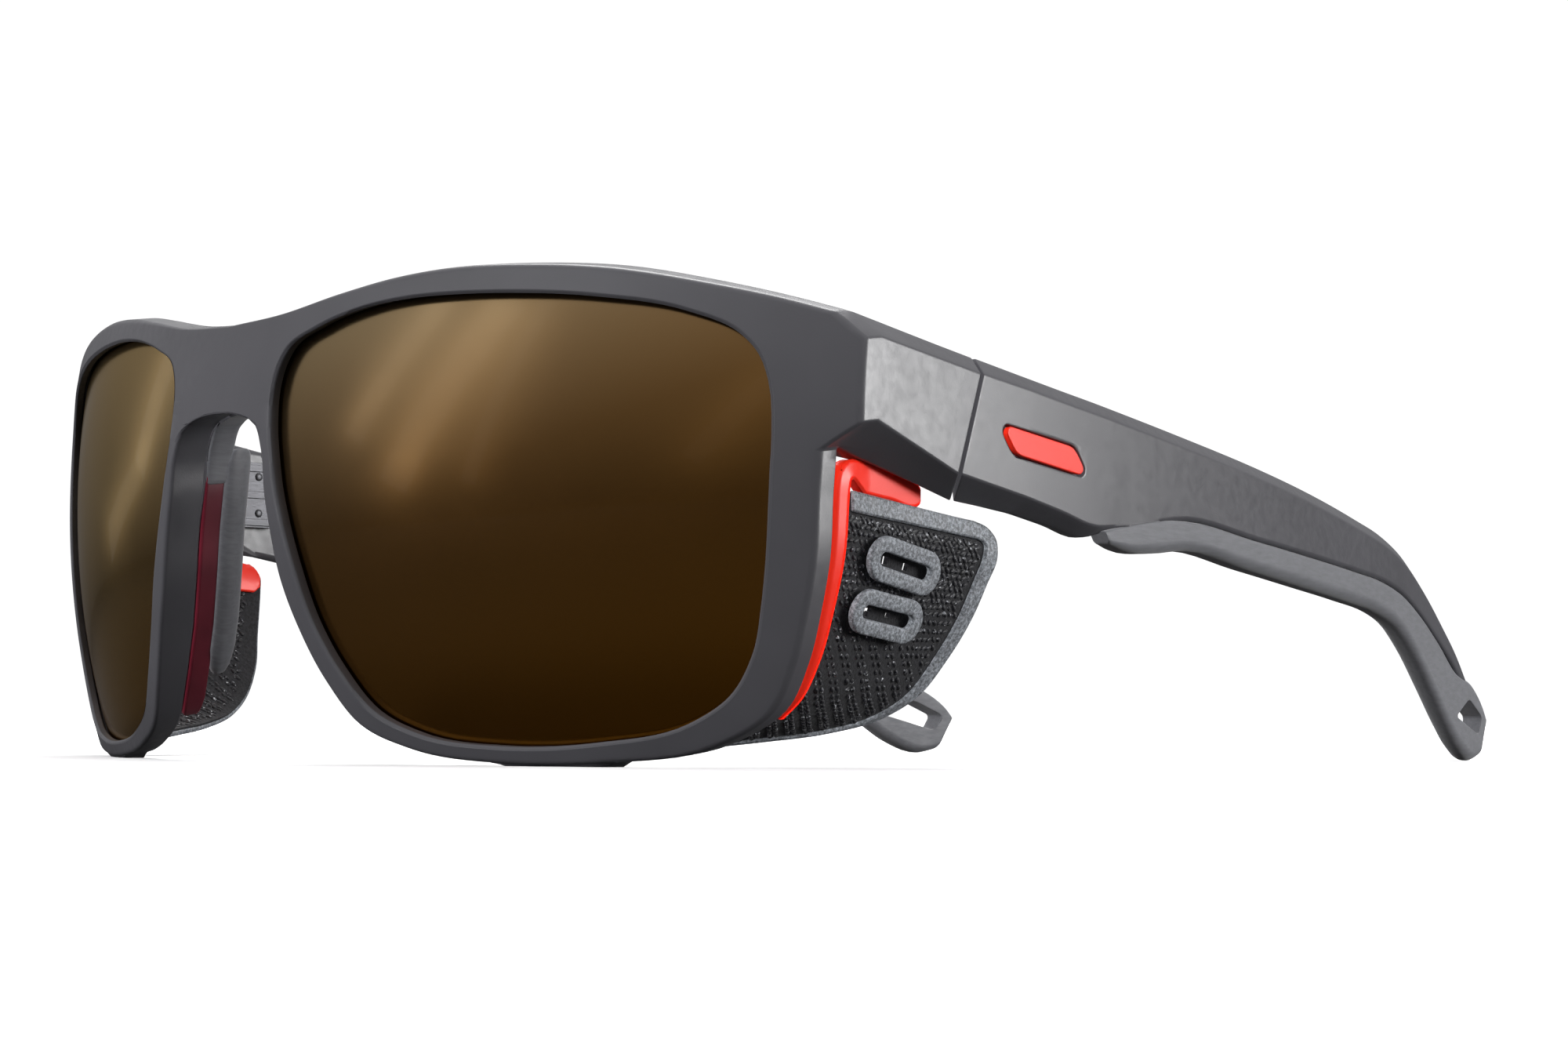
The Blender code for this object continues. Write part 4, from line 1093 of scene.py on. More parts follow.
def hinge_leaf(levels, near, far):
    """A leaf plate with rounded corners, its knuckles and two rivets; near and far are back."""
    axis = (HINGE_X, HINGE_Y - DEPTH_CENTRE)
    plate_in = HINGE_X + 0.5
    plate_out = SEAM_INNER[0][0] - GAP
    low, high = KNUCKLE_LEVELS[0] + 0.1, KNUCKLE_LEVELS[-1] - 0.1
    outline = rounded_outline(((near, low), (far, low), (far, high), (near, high)), 0.6)
    shapes = [loft([[from_front(x, back, z) for back, z in outline] for x in (plate_in, plate_out)])]
    reach = near if abs(near - HINGE_Y) < abs(far - HINGE_Y) else far
    for bottom, top in levels:
        shapes.append(ring_prism(axis, KNUCKLE_RADIUS, PIN_RADIUS + 0.2, bottom, top))
        ends = sorted((HINGE_Y, reach - math.copysign(0.5, HINGE_Y - reach)))
        web = [(x, back - DEPTH_CENTRE) for x, back in
               ((plate_in + 0.25, ends[0]), (plate_out - 0.05, ends[0]), (plate_out - 0.05, ends[1]),
                (plate_in + 0.25, ends[1]))]
        shapes.append(prism(web, bottom + 0.05, top - 0.05))
    middle = (near + far) / 2 + math.copysign(1.0, near + far - 2 * HINGE_Y)
    for z in (31.6, 36.4):
        shapes.append(rivet(plate_in, middle, z))
    for z in LEAF_RIBS:
        rib = rounded_outline(((near + 0.5, z - 0.45), (far - 0.5, z - 0.45), (far - 0.5, z + 0.45),
                               (near + 0.5, z + 0.45)), 0.3)
        shapes.append(loft([[from_front(x, back, rise) for back, rise in rib]
                            for x in (plate_in + 0.1, plate_in - 0.3)]))
    return joined(*shapes)


class BuildHinges(bpy.types.Operator):
    """Build the three-knuckle hinge inside each lug: two leaves and a slotted screw"""
    bl_idname = "glasses.build_hinges"
    bl_label = "Hinges"

    def execute(self, context):
        levels = KNUCKLE_LEVELS
        clear = KNUCKLE_RADIUS + GAP
        axis = (HINGE_X, HINGE_Y - DEPTH_CENTRE)
        steel = kept("brushed_steel", brushed_steel)
        front_leaf = hinge_leaf((levels[0:2], levels[4:6]), LEAF_FRONT, HINGE_Y - clear)
        rear_leaf = hinge_leaf((levels[2:4],), HINGE_Y + clear, LEAF_REAR)
        pin = prism(circle(axis, PIN_RADIUS), levels[0] - 0.1, levels[-1] + 0.4)
        head = prism(circle(axis, 1.0), levels[-1] + 0.2, levels[-1] + 0.8)
        slot = prism([(axis[0] + x, axis[1] + y) for x, y in
                      ((-1.5, -0.14), (1.5, -0.14), (1.5, 0.14), (-1.5, 0.14))],
                     levels[-1] + 0.5, levels[-1] + 2.0)
        for side, sign in SIDES:
            leaf = softened(make_mesh("leaf", *front_leaf, sign), 0.07, 2, math.radians(50.0))
            add_piece(f"leaf_on_lug_{side}", leaf, steel, "hinge_steel", "front",
                      f"hinge_front_leaf_{side}")
            leaf = softened(make_mesh("leaf", *rear_leaf, sign), 0.07, 2, math.radians(50.0))
            add_piece(f"leaf_on_temple_{side}", leaf, steel, "hinge_steel", f"{side}_temple",
                      f"hinge_temple_leaf_{side}")
            screw = cut(make_mesh("screw", *joined(pin, head), sign), make_mesh("slot", *slot, sign))
            screw = softened(screw, 0.05, 2, math.radians(50.0))
            add_piece(f"slotted_screw_{side}", screw, steel, "hinge_steel", "front",
                      f"hinge_screw_{side}")
        return {"FINISHED"}


# ---- side shields ---------------------------------------------------------------------------------
class Shield:
    """The shield's middle surface, read by station down it and share of the way back."""

    def __init__(self):
        self.front = np.array(smooth_curve([on_front(*row[0], SHIELD_FRONT) for row in SHIELD_STATIONS],
                                           SHIELD_STEPS))
        self.rear = np.array(smooth_curve([from_front(*row[1]) for row in SHIELD_STATIONS],
                                          SHIELD_STEPS))
        self.places = np.arange(len(self.front)) / SHIELD_STEPS

    def edge(self, curve, station):
        return np.stack([np.interp(station, self.places, curve[:, k]) for k in range(3)], axis=-1)

    def place(self, station, share):
        station = np.asarray(station, float)
        share = np.asarray(share, float)[..., None]
        front = self.edge(self.front, station)
        return front + (self.edge(self.rear, station) - front) * share

    def normal(self, station, share):
        """The direction that points away from the head."""
        station = np.asarray(station, float)
        share = np.asarray(share, float)
        low = self.place(np.minimum(station + 0.3, SHIELD_LAST), share)
        high = self.place(np.maximum(station - 0.3, 0.0), share)
        back = self.place(station, np.minimum(share + 0.1, 1.0)) - self.place(
            station, np.maximum(share - 0.1, 0.0))
        normal = np.cross(back, high - low)
        return normal / np.linalg.norm(normal, axis=-1, keepdims=True)

    def layer(self, station, share, height):
        return self.place(station, share) + self.normal(station, share) * height

    def length(self, station):
        gap = self.place(station, np.ones_like(station)) - self.place(station, np.zeros_like(station))
        return np.linalg.norm(gap, axis=-1)

    def trim_share(self, station):
        """Where the trim's inner edge lies at a station, as a share of the way back."""
        station = np.asarray(station, float)
        width = np.interp(station, (3.0, 6.0, 9.0), (TRIM_WIDTH_REAR, TRIM_WIDTH_REAR, TRIM_WIDTH_BELOW))
        return 1.0 - width / self.length(station)

    def vent(self, station, share):
        """A vent's middle, and its directions along the slot, across it and outwards."""
        centre = self.place(station, share)
        normal = self.normal(station, share)
        back = self.place(station, share + 0.1) - centre
        back = back / np.linalg.norm(back)
        up = np.cross(normal, back)
        up = up if up[2] > 0 else -up
        along_slot = back * math.cos(VENT_TILT) + up * math.sin(VENT_TILT)
        across = up * math.cos(VENT_TILT) - back * math.sin(VENT_TILT)
        return centre, along_slot, across, normal


RIB_START = 4.6              # station below which the stitches run in slanting ribs
RIB_SPACING = 3
FABRIC_ROWS = 110
FABRIC_COLUMNS = 64


def fabric_grid(shield, rows, columns):
    """Stations and shares of a grid over the fabric panel."""
    stations = np.linspace(FABRIC_TOP, SHIELD_LAST, rows)[:, None].repeat(columns, axis=1)
    ends = 1.0 - FABRIC_INSET / shield.length(stations)
    return stations, ends * np.linspace(0.0, 1.0, columns)[None, :]


def fabric_panel(shield):
    """Points and faces of the fabric, pierced by the eyelets inside its vents."""
    stations, shares = fabric_grid(shield, FABRIC_ROWS, FABRIC_COLUMNS)
    half = FABRIC_THICKNESS / 2
    middle = shield.place(stations, shares).reshape(-1, 3)
    layers = [shield.layer(stations, shares, h).reshape(-1, 3) for h in (half, -half)]
    points = np.concatenate(layers)
    centres = []
    for station, share in VENT_PLACES:
        centre, along_slot, _, _ = shield.vent(station, share)
        centres += [centre + along_slot * reach for reach in EYELET_PLACES]
    back = len(middle)
    faces = []
    for r in range(FABRIC_ROWS - 1):
        for c in range(FABRIC_COLUMNS - 1):
            a = r * FABRIC_COLUMNS + c
            b = a + FABRIC_COLUMNS
            spot = (middle[a] + middle[b + 1]) / 2
            if min(np.linalg.norm(spot - centre) for centre in centres) < EYELET_RADIUS:
                continue
            faces.append((a, a + 1, b + 1, b))
            faces.append((back + a, back + b, back + b + 1, back + a + 1))
    edges = {}
    for face in faces[::2]:
        for a, b in zip(face, face[1:] + face[:1]):
            edges[(a, b)] = True
    walls = [(b, a, back + a, back + b) for a, b in edges if (b, a) not in edges]
    return list(points), faces + walls


def knit_tree(material):
    """Geometry nodes that put an uneven stitch on every face of a grid of cells."""
    tree = bpy.data.node_groups.new("knit", "GeometryNodeTree")
    tree.interface.new_socket("Geometry", in_out="INPUT", socket_type="NodeSocketGeometry")
    sizes = {}
    for name in ("Stitch Length", "Stitch Width", "Stitch Height"):
        sizes[name] = tree.interface.new_socket(name, in_out="INPUT", socket_type="NodeSocketFloat")
    sizes["Seed"] = tree.interface.new_socket("Seed", in_out="INPUT", socket_type="NodeSocketInt")
    tree.interface.new_socket("Geometry", in_out="OUTPUT", socket_type="NodeSocketGeometry")
    nodes = tree.nodes
    link = tree.links.new
    start = nodes.new("NodeGroupInput")
    end = nodes.new("NodeGroupOutput")
    normal = nodes.new("GeometryNodeInputNormal")
    capture = nodes.new("GeometryNodeCaptureAttribute")
    capture.domain = "FACE"
    capture.capture_items.new("VECTOR", "Outward")
    points = nodes.new("GeometryNodeMeshToPoints")
    points.mode = "FACES"
    lay = nodes.new("GeometryNodeInputNamedAttribute")
    lay.data_type = "FLOAT_VECTOR"
    lay.inputs["Name"].default_value = "lay"
    outward = nodes.new("FunctionNodeAlignRotationToVector")
    outward.axis = "Z"
    lengthwise = nodes.new("FunctionNodeAlignRotationToVector")
    lengthwise.axis = "X"
    lengthwise.pivot_axis = "Z"
    uneven = nodes.new("FunctionNodeRandomValue")
    uneven.data_type = "FLOAT_VECTOR"
    uneven.inputs["Min"].default_value = (0.72, 0.75, 0.45)
    uneven.inputs["Max"].default_value = (1.12, 1.1, 1.15)
    bead = nodes.new("GeometryNodeMeshUVSphere")
    bead.inputs["Segments"].default_value = 7
    bead.inputs["Rings"].default_value = 4
    bead.inputs["Radius"].default_value = 0.5
    shape = nodes.new("ShaderNodeCombineXYZ")
    sized = nodes.new("GeometryNodeTransform")
    placed = nodes.new("GeometryNodeInstanceOnPoints")
    real = nodes.new("GeometryNodeRealizeInstances")
    smooth = nodes.new("GeometryNodeSetShadeSmooth")
    finish = nodes.new("GeometryNodeSetMaterial")
    finish.inputs["Material"].default_value = material
    link(start.outputs["Geometry"], capture.inputs["Geometry"])
    link(normal.outputs["Normal"], capture.inputs["Outward"])
    link(capture.outputs["Geometry"], points.inputs["Mesh"])
    link(capture.outputs["Outward"], outward.inputs["Vector"])
    link(outward.outputs["Rotation"], lengthwise.inputs["Rotation"])
    link(lay.outputs["Attribute"], lengthwise.inputs["Vector"])
    link(start.outputs["Seed"], uneven.inputs["Seed"])
    for name, axis in (("Stitch Length", "X"), ("Stitch Width", "Y"), ("Stitch Height", "Z")):
        link(start.outputs[name], shape.inputs[axis])
    link(bead.outputs["Mesh"], sized.inputs["Geometry"])
    link(shape.outputs["Vector"], sized.inputs["Scale"])
    link(points.outputs["Points"], placed.inputs["Points"])
    link(sized.outputs["Geometry"], placed.inputs["Instance"])
    link(lengthwise.outputs["Rotation"], placed.inputs["Rotation"])
    link(uneven.outputs["Value"], placed.inputs["Scale"])
    link(placed.outputs["Instances"], real.inputs["Geometry"])
    link(real.outputs["Geometry"], smooth.inputs["Geometry"])
    link(smooth.outputs["Geometry"], finish.inputs["Geometry"])
    link(finish.outputs["Geometry"], end.inputs["Geometry"])
    return tree, {name: socket.identifier for name, socket in sizes.items()}


def knit_cells(shield, pitch, height, outward):
    """One small cell for each stitch, in rows that lean, with the way that its yarn lies."""
    top = shield.length(np.array([STITCH_TOP]))[0]
    columns = int(top / pitch)
    drop = np.linalg.norm(np.diff(shield.place(np.linspace(STITCH_TOP, SHIELD_LAST, 60),
                                               np.full(60, 0.5)), axis=0), axis=1).sum()
    rows = int(drop / pitch)
    stations = np.linspace(STITCH_TOP + 0.08, SHIELD_LAST - 0.12, rows)
    vents = [shield.vent(*place) for place in VENT_PLACES]
    points = []
    faces = []
    lays = []
    for r, station in enumerate(stations):
        length = shield.length(np.array([station]))[0]
        end = float(shield.trim_share(station)) * length - GAP - 0.3
        for c in range(columns + 2):
            ribbed = station > RIB_START + 2.0 * c * pitch / length
            reach = 0.25 + (c if ribbed else c + 0.5 * (r % 2)) * pitch
            if reach > end:
                break
            share = reach / length
            if ribbed and (c - r) % RIB_SPACING == 0:
                continue
            centre = shield.layer(station, share, height)
            if any(in_vent(centre, vent) for vent in vents):
                continue
            normal = shield.normal(station, share) * outward
            back = shield.place(station, min(share + 0.05, 1.0)) - shield.place(station, share)
            back = back / np.linalg.norm(back)
            up = np.cross(normal, back)
            lean = math.radians(-45.0 if ribbed or (r // 2 + c // 3) % 2 else 20.0)
            lays.append(back * math.cos(lean) + up * math.sin(lean) * outward)
            base = len(points)
            points += [centre + (back * a + up * b) * 0.05 for a, b in
                       ((-1, -1), (1, -1), (1, 1), (-1, 1))]
            faces.append((base, base + 1, base + 2, base + 3))
    return points, faces, lays


def in_vent(place, vent):
    """True if a place lies under a vent ring or in its slot."""
    centre, along_slot, across, _ = vent
    gap = place - centre
    x = abs(gap @ along_slot)
    y = abs(gap @ across)
    reach = (VENT_LENGTH - VENT_WIDTH) / 2
    return math.hypot(max(x - reach, 0.0), y) < VENT_WIDTH / 2 - 0.15


class BuildFabric(bpy.types.Operator):
    """Build each shield's fabric panel and the stitches on both its faces"""
    bl_idname = "glasses.build_fabric"
    bl_label = "Shield fabric"

    def execute(self, context):
        choices = settings()
        shield = Shield()
        points, faces = fabric_panel(shield)
        cloth = kept("black_cloth", black_cloth)
        yarn = kept("stitch_yarn", stitch_yarn)
        tree, inputs = knit_tree(yarn)
        pitch = choices.knit_pitch / MM
        flat_width = float(shield.length(np.array([FABRIC_TOP]))[0])
        for side, sign in SIDES:
            mesh = make_mesh("shield_cloth", points, faces, sign)
            shade(mesh)
            panel = add_piece(f"shield_cloth_{side}", mesh, cloth, "shield_mesh", f"{side}_shield",
                              f"shield_fabric_{side}")
            stitches = []
            for outward in (1.0, -1.0):
                height = outward * FABRIC_THICKNESS / 2
                cells, cell_faces, lays = knit_cells(shield, pitch, height, outward)
                grid = bpy.data.meshes.new("cells")
                flip = np.array((sign, 1.0, 1.0))
                order = 1 if outward * sign > 0 else -1
                grid.from_pydata([tuple(p * flip * MM) for p in cells], [],
                                 [face[::order] for face in cell_faces])
                lay = grid.attributes.new("lay", "FLOAT_VECTOR", "FACE")
                lay.data.foreach_set("vector", (np.array(lays) * flip).ravel())
                grid.update()

                def setup(holder):
                    knit = holder.modifiers.new("knit", "NODES")
                    knit.node_group = tree
                    knit[inputs["Stitch Length"]] = choices.knit_pitch * 1.35
                    knit[inputs["Stitch Width"]] = choices.knit_pitch * 0.72
                    knit[inputs["Stitch Height"]] = choices.knit_height * 2
                    knit[inputs["Seed"]] = choices.knit_seed

                stitches.append(evaluated(grid, setup))
            yarns = merged("shield_knit", stitches)
            knit = add_piece(f"shield_knit_{side}", yarns, yarn, "shield_mesh", f"{side}_shield")
        return {"FINISHED"}


def merged(name, meshes):
    """Several meshes as one."""
    shape = bmesh.new()
    for mesh in meshes:
        shape.from_mesh(mesh)
    result = bpy.data.meshes.new(name)
    shape.to_mesh(result)
    shape.free()
    result.shade_smooth()
    return result


class BuildTrims(bpy.types.Operator):
    """Build the heathered edging along each shield's top, rear and lower edges"""
    bl_idname = "glasses.build_trims"
    bl_label = "Shield trims"

    def execute(self, context):
        shield = Shield()
        high, low = TRIM_HEIGHTS
        edges = [(0.0, share, TRIM_INSET_TOP, share) for share in (0.04, 0.2, 0.4, 0.6, 0.78)]
        edges += list(TRIM_CORNER)
        edges += [(0.5 * i, 1.0, 0.5 * i, float(shield.trim_share(0.5 * i))) for i in range(6, 23)]
        fine = [np.array(edges[0])]
        for here, there in zip(edges, edges[1:]):
            for step in range(1, TRIM_STEPS + 1):
                fine.append(np.array(here) + (np.array(there) - np.array(here)) * step / TRIM_STEPS)
        sections = []
        for outer, outer_share, inner, inner_share in fine:
            corners = [shield.layer(outer, outer_share, high), shield.layer(outer, outer_share, low),
                       shield.layer(inner, inner_share, low), shield.layer(inner, inner_share, high)]
            sections.append(rounded_outline(corners, 0.2, 3))
        points, faces = loft(sections)
        for side, sign in SIDES:
            mesh = softened(make_mesh("shield_edging", points, faces, sign), 0.15)
            add_piece(f"shield_edging_{side}", mesh, kept("heathered_film", heathered_film),
                      "shield_trim", f"{side}_shield", f"shield_trim_{side}")
        return {"FINISHED"}


def clip_rails():
    """The clip's four long edges, from its lower end up the bar, round the corner and back."""
    rails = [[], [], [], []]
    centre, turn = CLIP_CENTRE
    for u, v, rear, width in CLIP_BAR[:-1]:
        inward = np.array((centre[0], v if v > turn else centre[1])) - (u, v)
        inward = inward / np.linalg.norm(inward)
        out = np.array((u, v)) - inward * CLIP_PROUD
        into = np.array((u, v)) + inward * width
        section = (on_front(*out, CLIP_FRONT), on_front(*out, rear), on_front(*into, rear),
                   on_front(*into, CLIP_FRONT))
        for rail, point in zip(rails, section):
            rail.append(point)
    thickness = CLIP_BAR[-1][3] + CLIP_PROUD
    step_in = np.array((-thickness, 0.0, 0.0))
    top = on_front(*CLIP_CORNER[0], CLIP_FRONT)
    low = on_front(*CLIP_CORNER[1], CLIP_BAR[-1][2])
    corner = (top, low, low + step_in, top + step_in)
    arm = [[], [], [], []]
    for back, high, under in CLIP_TOP:
        out = np.interp(back, *CLIP_ARM_X)
        section = (from_front(out, back, high), from_front(out, back, under),
                   from_front(out - thickness, back, under), from_front(out - thickness, back, high))
        for rail, point in zip(arm, section):
            rail.append(point)
    made = []
    for k in range(4):
        bar = smooth_curve(rails[k], CLIP_STEPS)
        before = bar[-1]
        after = arm[k][0]
        reach = 3.0 if k in (0, 3) else 0.9
        start = corner[k] + (before - corner[k]) * min(0.9, reach / np.linalg.norm(before - corner[k]))
        finish = corner[k] + (after - corner[k]) * min(0.9, reach / np.linalg.norm(after - corner[k]))
        bend = [start * (1 - t) ** 2 + corner[k] * 2 * t * (1 - t) + finish * t ** 2
                for t in (i / 8 for i in range(9))]
        made.append(bar + bend + smooth_curve(arm[k], CLIP_STEPS))
    return made


def clip_flange(shield):
    """The flat red band that holds the fabric's top from inside."""
    sections = []
    near, far = FLANGE_HEIGHTS
    for share in np.linspace(*FLANGE_SHARES, 24):
        end = min(1.0, (FLANGE_SHARES[1] - share) / 0.05)
        tuck = 0.3 * (1.0 - math.sqrt(max(0.0, 1.0 - (1.0 - end) ** 2)))
        low, high = FLANGE_STATIONS[0] + tuck, FLANGE_STATIONS[1] - tuck
        stations = np.linspace(low, high, 8)
        out = shield.normal(FLANGE_STATIONS[1], share)
        loop = [shield.place(station, share) + out * near for station in stations]
        loop += [shield.place(station, share) + out * far for station in reversed(stations)]
        sections.append(loop)
    return loft(sections)


class BuildClips(bpy.types.Operator):
    """Build the red clip that holds each shield: a bar along the rim and an arm under the lug"""
    bl_idname = "glasses.build_clips"
    bl_label = "Shield clips"

    def execute(self, context):
        rails = clip_rails()
        sections = [rounded_outline(corners, CLIP_ROUND, 3) for corners in zip(*rails)]
        points, faces = joined(loft(sections), clip_flange(Shield()))
        for side, sign in SIDES:
            mesh = softened(make_mesh("rim_clip", points, faces, sign), 0.25, 3)
            add_piece(f"rim_clip_{side}", mesh, kept("gloss_red", gloss_red), "red",
                      f"{side}_shield", f"shield_clip_{side}")
        return {"FINISHED"}


def stadium(length, width, steps=14):
    """Points round a slot shape with half-round ends."""
    radius = width / 2
    reach = length / 2 - radius
    right = arc((reach, 0.0), radius, -90.0, 90.0, steps)
    left = arc((-reach, 0.0), radius, 90.0, 270.0, steps)
    return right + left


class BuildVents(bpy.types.Operator):
    """Build the two rings round each shield's vent slots"""
    bl_idname = "glasses.build_vents"
    bl_label = "Vent rings"

    def execute(self, context):
        shield = Shield()
        low = CLOTH_PLAY + GAP
        high = low + VENT_THICKNESS
        band = (VENT_WIDTH - VENT_SLOT_WIDTH) / 2
        # inset from the outer edge, and height, round the ring's cross-section
        profile = rounded_outline(((0.0, low), (0.0, high), (band, high), (band, low)), 0.3)
        for name, (station, share) in zip(("upper", "lower"), VENT_PLACES):
            centre, along_slot, across, normal = shield.vent(station, share)
            loops = []
            for inset, height in profile:
                share_in = inset / band
                length = VENT_LENGTH + (VENT_SLOT_LENGTH - VENT_LENGTH) * share_in
                width = VENT_WIDTH + (VENT_SLOT_WIDTH - VENT_WIDTH) * share_in
                loops.append([centre + along_slot * x + across * y + normal * height
                              for x, y in stadium(length, width)])
            points, faces = loft(loops, closed=True)
            for side, sign in SIDES:
                mesh = make_mesh("vent_eyelet", points, faces, sign)
                shade(mesh)
                add_piece(f"vent_eyelet_{name}_{side}", mesh, kept("heathered_film", heathered_film),
                          "shield_trim", f"{side}_shield", f"vent_ring_{name}_{side}")
        return {"FINISHED"}


# ---- stage ----------------------------------------------------------------------------------------
def world_light():
    """Light from a sky that is bright above and dark below; the camera sees plain white."""
    world = bpy.data.worlds.new("studio")
    bpy.context.scene.world = world
    world.use_nodes = True
    nodes = world.node_tree.nodes
    link = world.node_tree.links.new
    nodes.clear()
    end = nodes.new("ShaderNodeOutputWorld")
    sky = nodes.new("ShaderNodeBackground")
    white = nodes.new("ShaderNodeBackground")
    white.inputs["Color"].default_value = (1.0, 1.0, 1.0, 1.0)
    white.inputs["Strength"].default_value = 1.05
    path = nodes.new("ShaderNodeLightPath")
    choose = nodes.new("ShaderNodeMixShader")
    direction = nodes.new("ShaderNodeTexCoord")
    split = nodes.new("ShaderNodeSeparateXYZ")
    ramp = nodes.new("ShaderNodeValToRGB")
    ramp.color_ramp.elements[0].position = 0.42
    ramp.color_ramp.elements[0].color = (0.01, 0.01, 0.011, 1.0)
    ramp.color_ramp.elements[1].position = 0.95
    ramp.color_ramp.elements[1].color = (0.6, 0.6, 0.605, 1.0)
    level = ramp.color_ramp.elements.new(0.5)
    level.color = (0.08, 0.08, 0.082, 1.0)
    middle = ramp.color_ramp.elements.new(0.57)
    middle.color = (0.18, 0.18, 0.185, 1.0)
    upper = ramp.color_ramp.elements.new(0.72)
    upper.color = (0.46, 0.46, 0.465, 1.0)
    half = nodes.new("ShaderNodeMapRange")
    half.inputs["From Min"].default_value = -1.0
    link(direction.outputs["Generated"], split.inputs["Vector"])
    link(split.outputs["Z"], half.inputs["Value"])
    link(half.outputs["Result"], ramp.inputs["Fac"])
    link(ramp.outputs["Color"], sky.inputs["Color"])
    link(path.outputs["Is Camera Ray"], choose.inputs["Fac"])
    link(sky.outputs["Background"], choose.inputs[1])
    link(white.outputs["Background"], choose.inputs[2])
    link(choose.outputs["Shader"], end.inputs["Surface"])


def floor_material():
    """Pale floor: white to the camera but for soft shadows, dim to the pieces above it."""
    made = bpy.data.materials.new("pale_floor")
    made.use_nodes = True
    nodes = made.node_tree.nodes
    link = made.node_tree.links.new
    nodes.clear()
    end = nodes.new("ShaderNodeOutputMaterial")
    seen = nodes.new("ShaderNodeBsdfDiffuse")
    seen.inputs["Color"].default_value = (0.86, 0.86, 0.87, 1.0)
    glow = nodes.new("ShaderNodeEmission")
    glow.inputs["Color"].default_value = (1.0, 1.0, 1.0, 1.0)
    spot = nodes.new("ShaderNodeTexCoord")
    reach = nodes.new("ShaderNodeVectorMath")
    reach.operation = "LENGTH"
    fade = nodes.new("ShaderNodeMapRange")
    fade.inputs["From Min"].default_value = 0.25
    fade.inputs["From Max"].default_value = 0.9
    fade.inputs["To Min"].default_value = 0.10
    fade.inputs["To Max"].default_value = 1.05
    link(spot.outputs["Object"], reach.inputs[0])
    link(reach.outputs["Value"], fade.inputs["Value"])
    link(fade.outputs["Result"], glow.inputs["Strength"])
    both = nodes.new("ShaderNodeAddShader")
    dim = nodes.new("ShaderNodeBsdfDiffuse")
    dim.inputs["Color"].default_value = (0.05, 0.05, 0.052, 1.0)
    path = nodes.new("ShaderNodeLightPath")
    choose = nodes.new("ShaderNodeMixShader")
    link(seen.outputs["BSDF"], both.inputs[0])
    link(glow.outputs["Emission"], both.inputs[1])
    link(path.outputs["Is Camera Ray"], choose.inputs["Fac"])
    link(dim.outputs["BSDF"], choose.inputs[1])
    link(both.outputs["Shader"], choose.inputs[2])
    link(choose.outputs["Shader"], end.inputs["Surface"])
    return made


def add_softbox(name, place, target, size, power):
    """A rectangular area light aimed at a target."""
    data = bpy.data.lights.new(name, "AREA")
    data.shape = "RECTANGLE"
    data.size, data.size_y = size
    data.energy = power
    lamp = bpy.data.objects.new(name, data)
    lamp.location = place
    aim = bpy.context.scene.cursor.location.copy()
    aim[:] = [t - p for t, p in zip(target, place)]
    lamp.rotation_mode = "QUATERNION"
    lamp.rotation_quaternion = aim.to_track_quat("-Z", "Y")
    bpy.context.collection.objects.link(lamp)
    return lamp


def add_strip(name, start, end, target, width, radiance):
    """A long thin light between two places, facing a target."""
    start, end, target = np.array(start), np.array(end), np.array(target)
    length = np.linalg.norm(end - start)
    middle = (start + end) / 2
    lamp = add_softbox(name, middle, target, (length, width), radiance * math.pi * length * width)
    run = (end - start) / length
    back = (middle - target) / np.linalg.norm(middle - target)
    side = np.cross(back, run)
    side = side / np.linalg.norm(side)
    run = np.cross(side, back)
    turn = lamp.matrix_world.copy()
    for row in range(3):
        turn[row][0], turn[row][1], turn[row][2] = run[row], side[row], back[row]
        turn[row][3] = middle[row]
    lamp.rotation_mode = "XYZ"
    lamp.matrix_world = turn
    return lamp


def add_camera():
    """A camera a little above the table, in front of the wearer's left side."""
    data = bpy.data.cameras.new("camera")
    data.sensor_width = 36.0
    data.lens = CAMERA_LENS
    data.shift_x, data.shift_y = CAMERA_SHIFT
    data.clip_start = 0.01
    camera = bpy.data.objects.new("camera", data)
    sine, cosine = math.sin(CAMERA_TURN), math.cos(CAMERA_TURN)
    ahead = np.array((-sine * math.cos(CAMERA_RISE), cosine * math.cos(CAMERA_RISE),
                      math.sin(CAMERA_RISE)))
    right = np.array((cosine, sine, 0.0))
    up = np.cross(right, ahead)
    rolled_right = right * math.cos(CAMERA_ROLL) + up * math.sin(CAMERA_ROLL)
    rolled_up = up * math.cos(CAMERA_ROLL) - right * math.sin(CAMERA_ROLL)
    turn = camera.matrix_world.copy()
    for row in range(3):
        turn[row][0], turn[row][1], turn[row][2] = rolled_right[row], rolled_up[row], -ahead[row]
        turn[row][3] = CAMERA_PLACE[row]
    camera.matrix_world = turn
    bpy.context.collection.objects.link(camera)
    bpy.context.scene.camera = camera


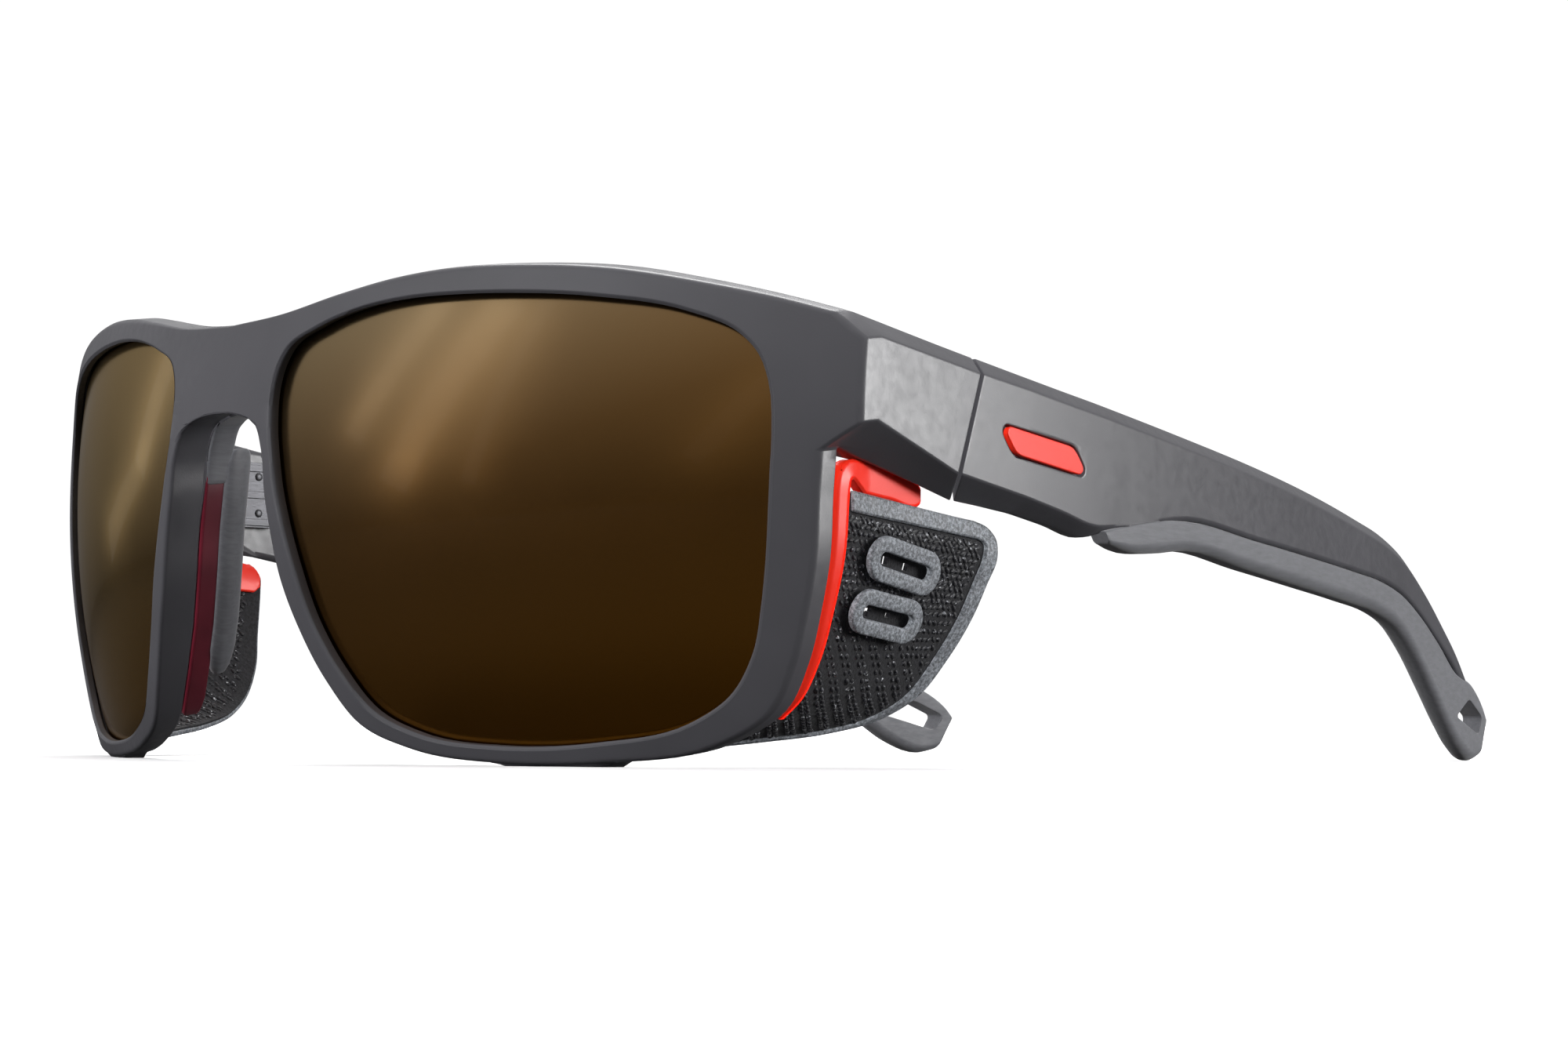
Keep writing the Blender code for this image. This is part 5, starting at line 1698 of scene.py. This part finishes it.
class BuildStage(bpy.types.Operator):
    """Set up the pale floor, the studio light and the camera"""
    bl_idname = "glasses.build_stage"
    bl_label = "Stage"

    def execute(self, context):
        half = FLOOR_SIZE / 2
        mesh = bpy.data.meshes.new("floor")
        mesh.from_pydata([(-half, -half, 0.0), (half, -half, 0.0), (half, half, 0.0),
                          (-half, half, 0.0)], [], [(0, 1, 2, 3)])
        mesh.materials.append(floor_material())
        floor = bpy.data.objects.new("floor", mesh)
        bpy.context.collection.objects.link(floor)
        world_light()
        focus = (0.02, -0.04, 0.02)
        add_softbox("overhead", (-0.40, 0.36, 1.1), focus, (0.7, 0.7), 12.0)
        add_softbox("side", (0.58, 0.34, 0.12), (0.07, -0.03, 0.03), (0.36, 0.30), 5.0)
        fill = add_softbox("front", (-0.15, -1.1, 0.45), focus, (0.8, 0.5), 16.0)
        fill.visible_glossy = False
        fill.data.use_shadow = False
        for number, (start, end, width, radiance) in enumerate(STREAKS):
            add_strip(f"strip_{number}", start, end, focus, width, radiance)
        bpy.context.scene.view_settings.view_transform = "Standard"
        add_camera()
        return {"FINISHED"}


class GlassesPanel(bpy.types.Panel):
    """Buttons for the glasses' pieces, in the sidebar"""
    bl_idname = "VIEW3D_PT_glacier_glasses"
    bl_label = "Glacier Glasses"
    bl_space_type = "VIEW_3D"
    bl_region_type = "UI"
    bl_category = "Glasses"

    def draw(self, context):
        choices = context.scene.glacier_glasses
        for name in ("frame_colour", "lens_top_colour", "lens_bottom_colour", "red_colour",
                     "grip_colour", "trim_colour", "knit_pitch", "knit_height", "knit_seed"):
            self.layout.prop(choices, name)
        for operator in OPERATORS:
            self.layout.operator(operator.bl_idname)


OPERATORS = (BuildFront, BuildLenses, BuildNosePads, BuildTemples, BuildGrips, BuildHinges,
             BuildClips, BuildFabric, BuildTrims, BuildVents, BuildStage)


def register():
    bpy.utils.register_class(GlassesSettings)
    for operator in OPERATORS:
        bpy.utils.register_class(operator)
    bpy.utils.register_class(GlassesPanel)
    bpy.types.Scene.glacier_glasses = PointerProperty(type=GlassesSettings)


def unregister():
    del bpy.types.Scene.glacier_glasses
    bpy.utils.unregister_class(GlassesPanel)
    for operator in reversed(OPERATORS):
        bpy.utils.unregister_class(operator)
    bpy.utils.unregister_class(GlassesSettings)


def main():
    register()
    bpy.ops.glasses.build_front()
    bpy.ops.glasses.build_lenses()
    bpy.ops.glasses.build_nose_pads()
    bpy.ops.glasses.build_temples()
    bpy.ops.glasses.build_grips()
    bpy.ops.glasses.build_hinges()
    bpy.ops.glasses.build_clips()
    bpy.ops.glasses.build_fabric()
    bpy.ops.glasses.build_trims()
    bpy.ops.glasses.build_vents()
    bpy.ops.glasses.build_stage()


if __name__ == "__main__":
    main()
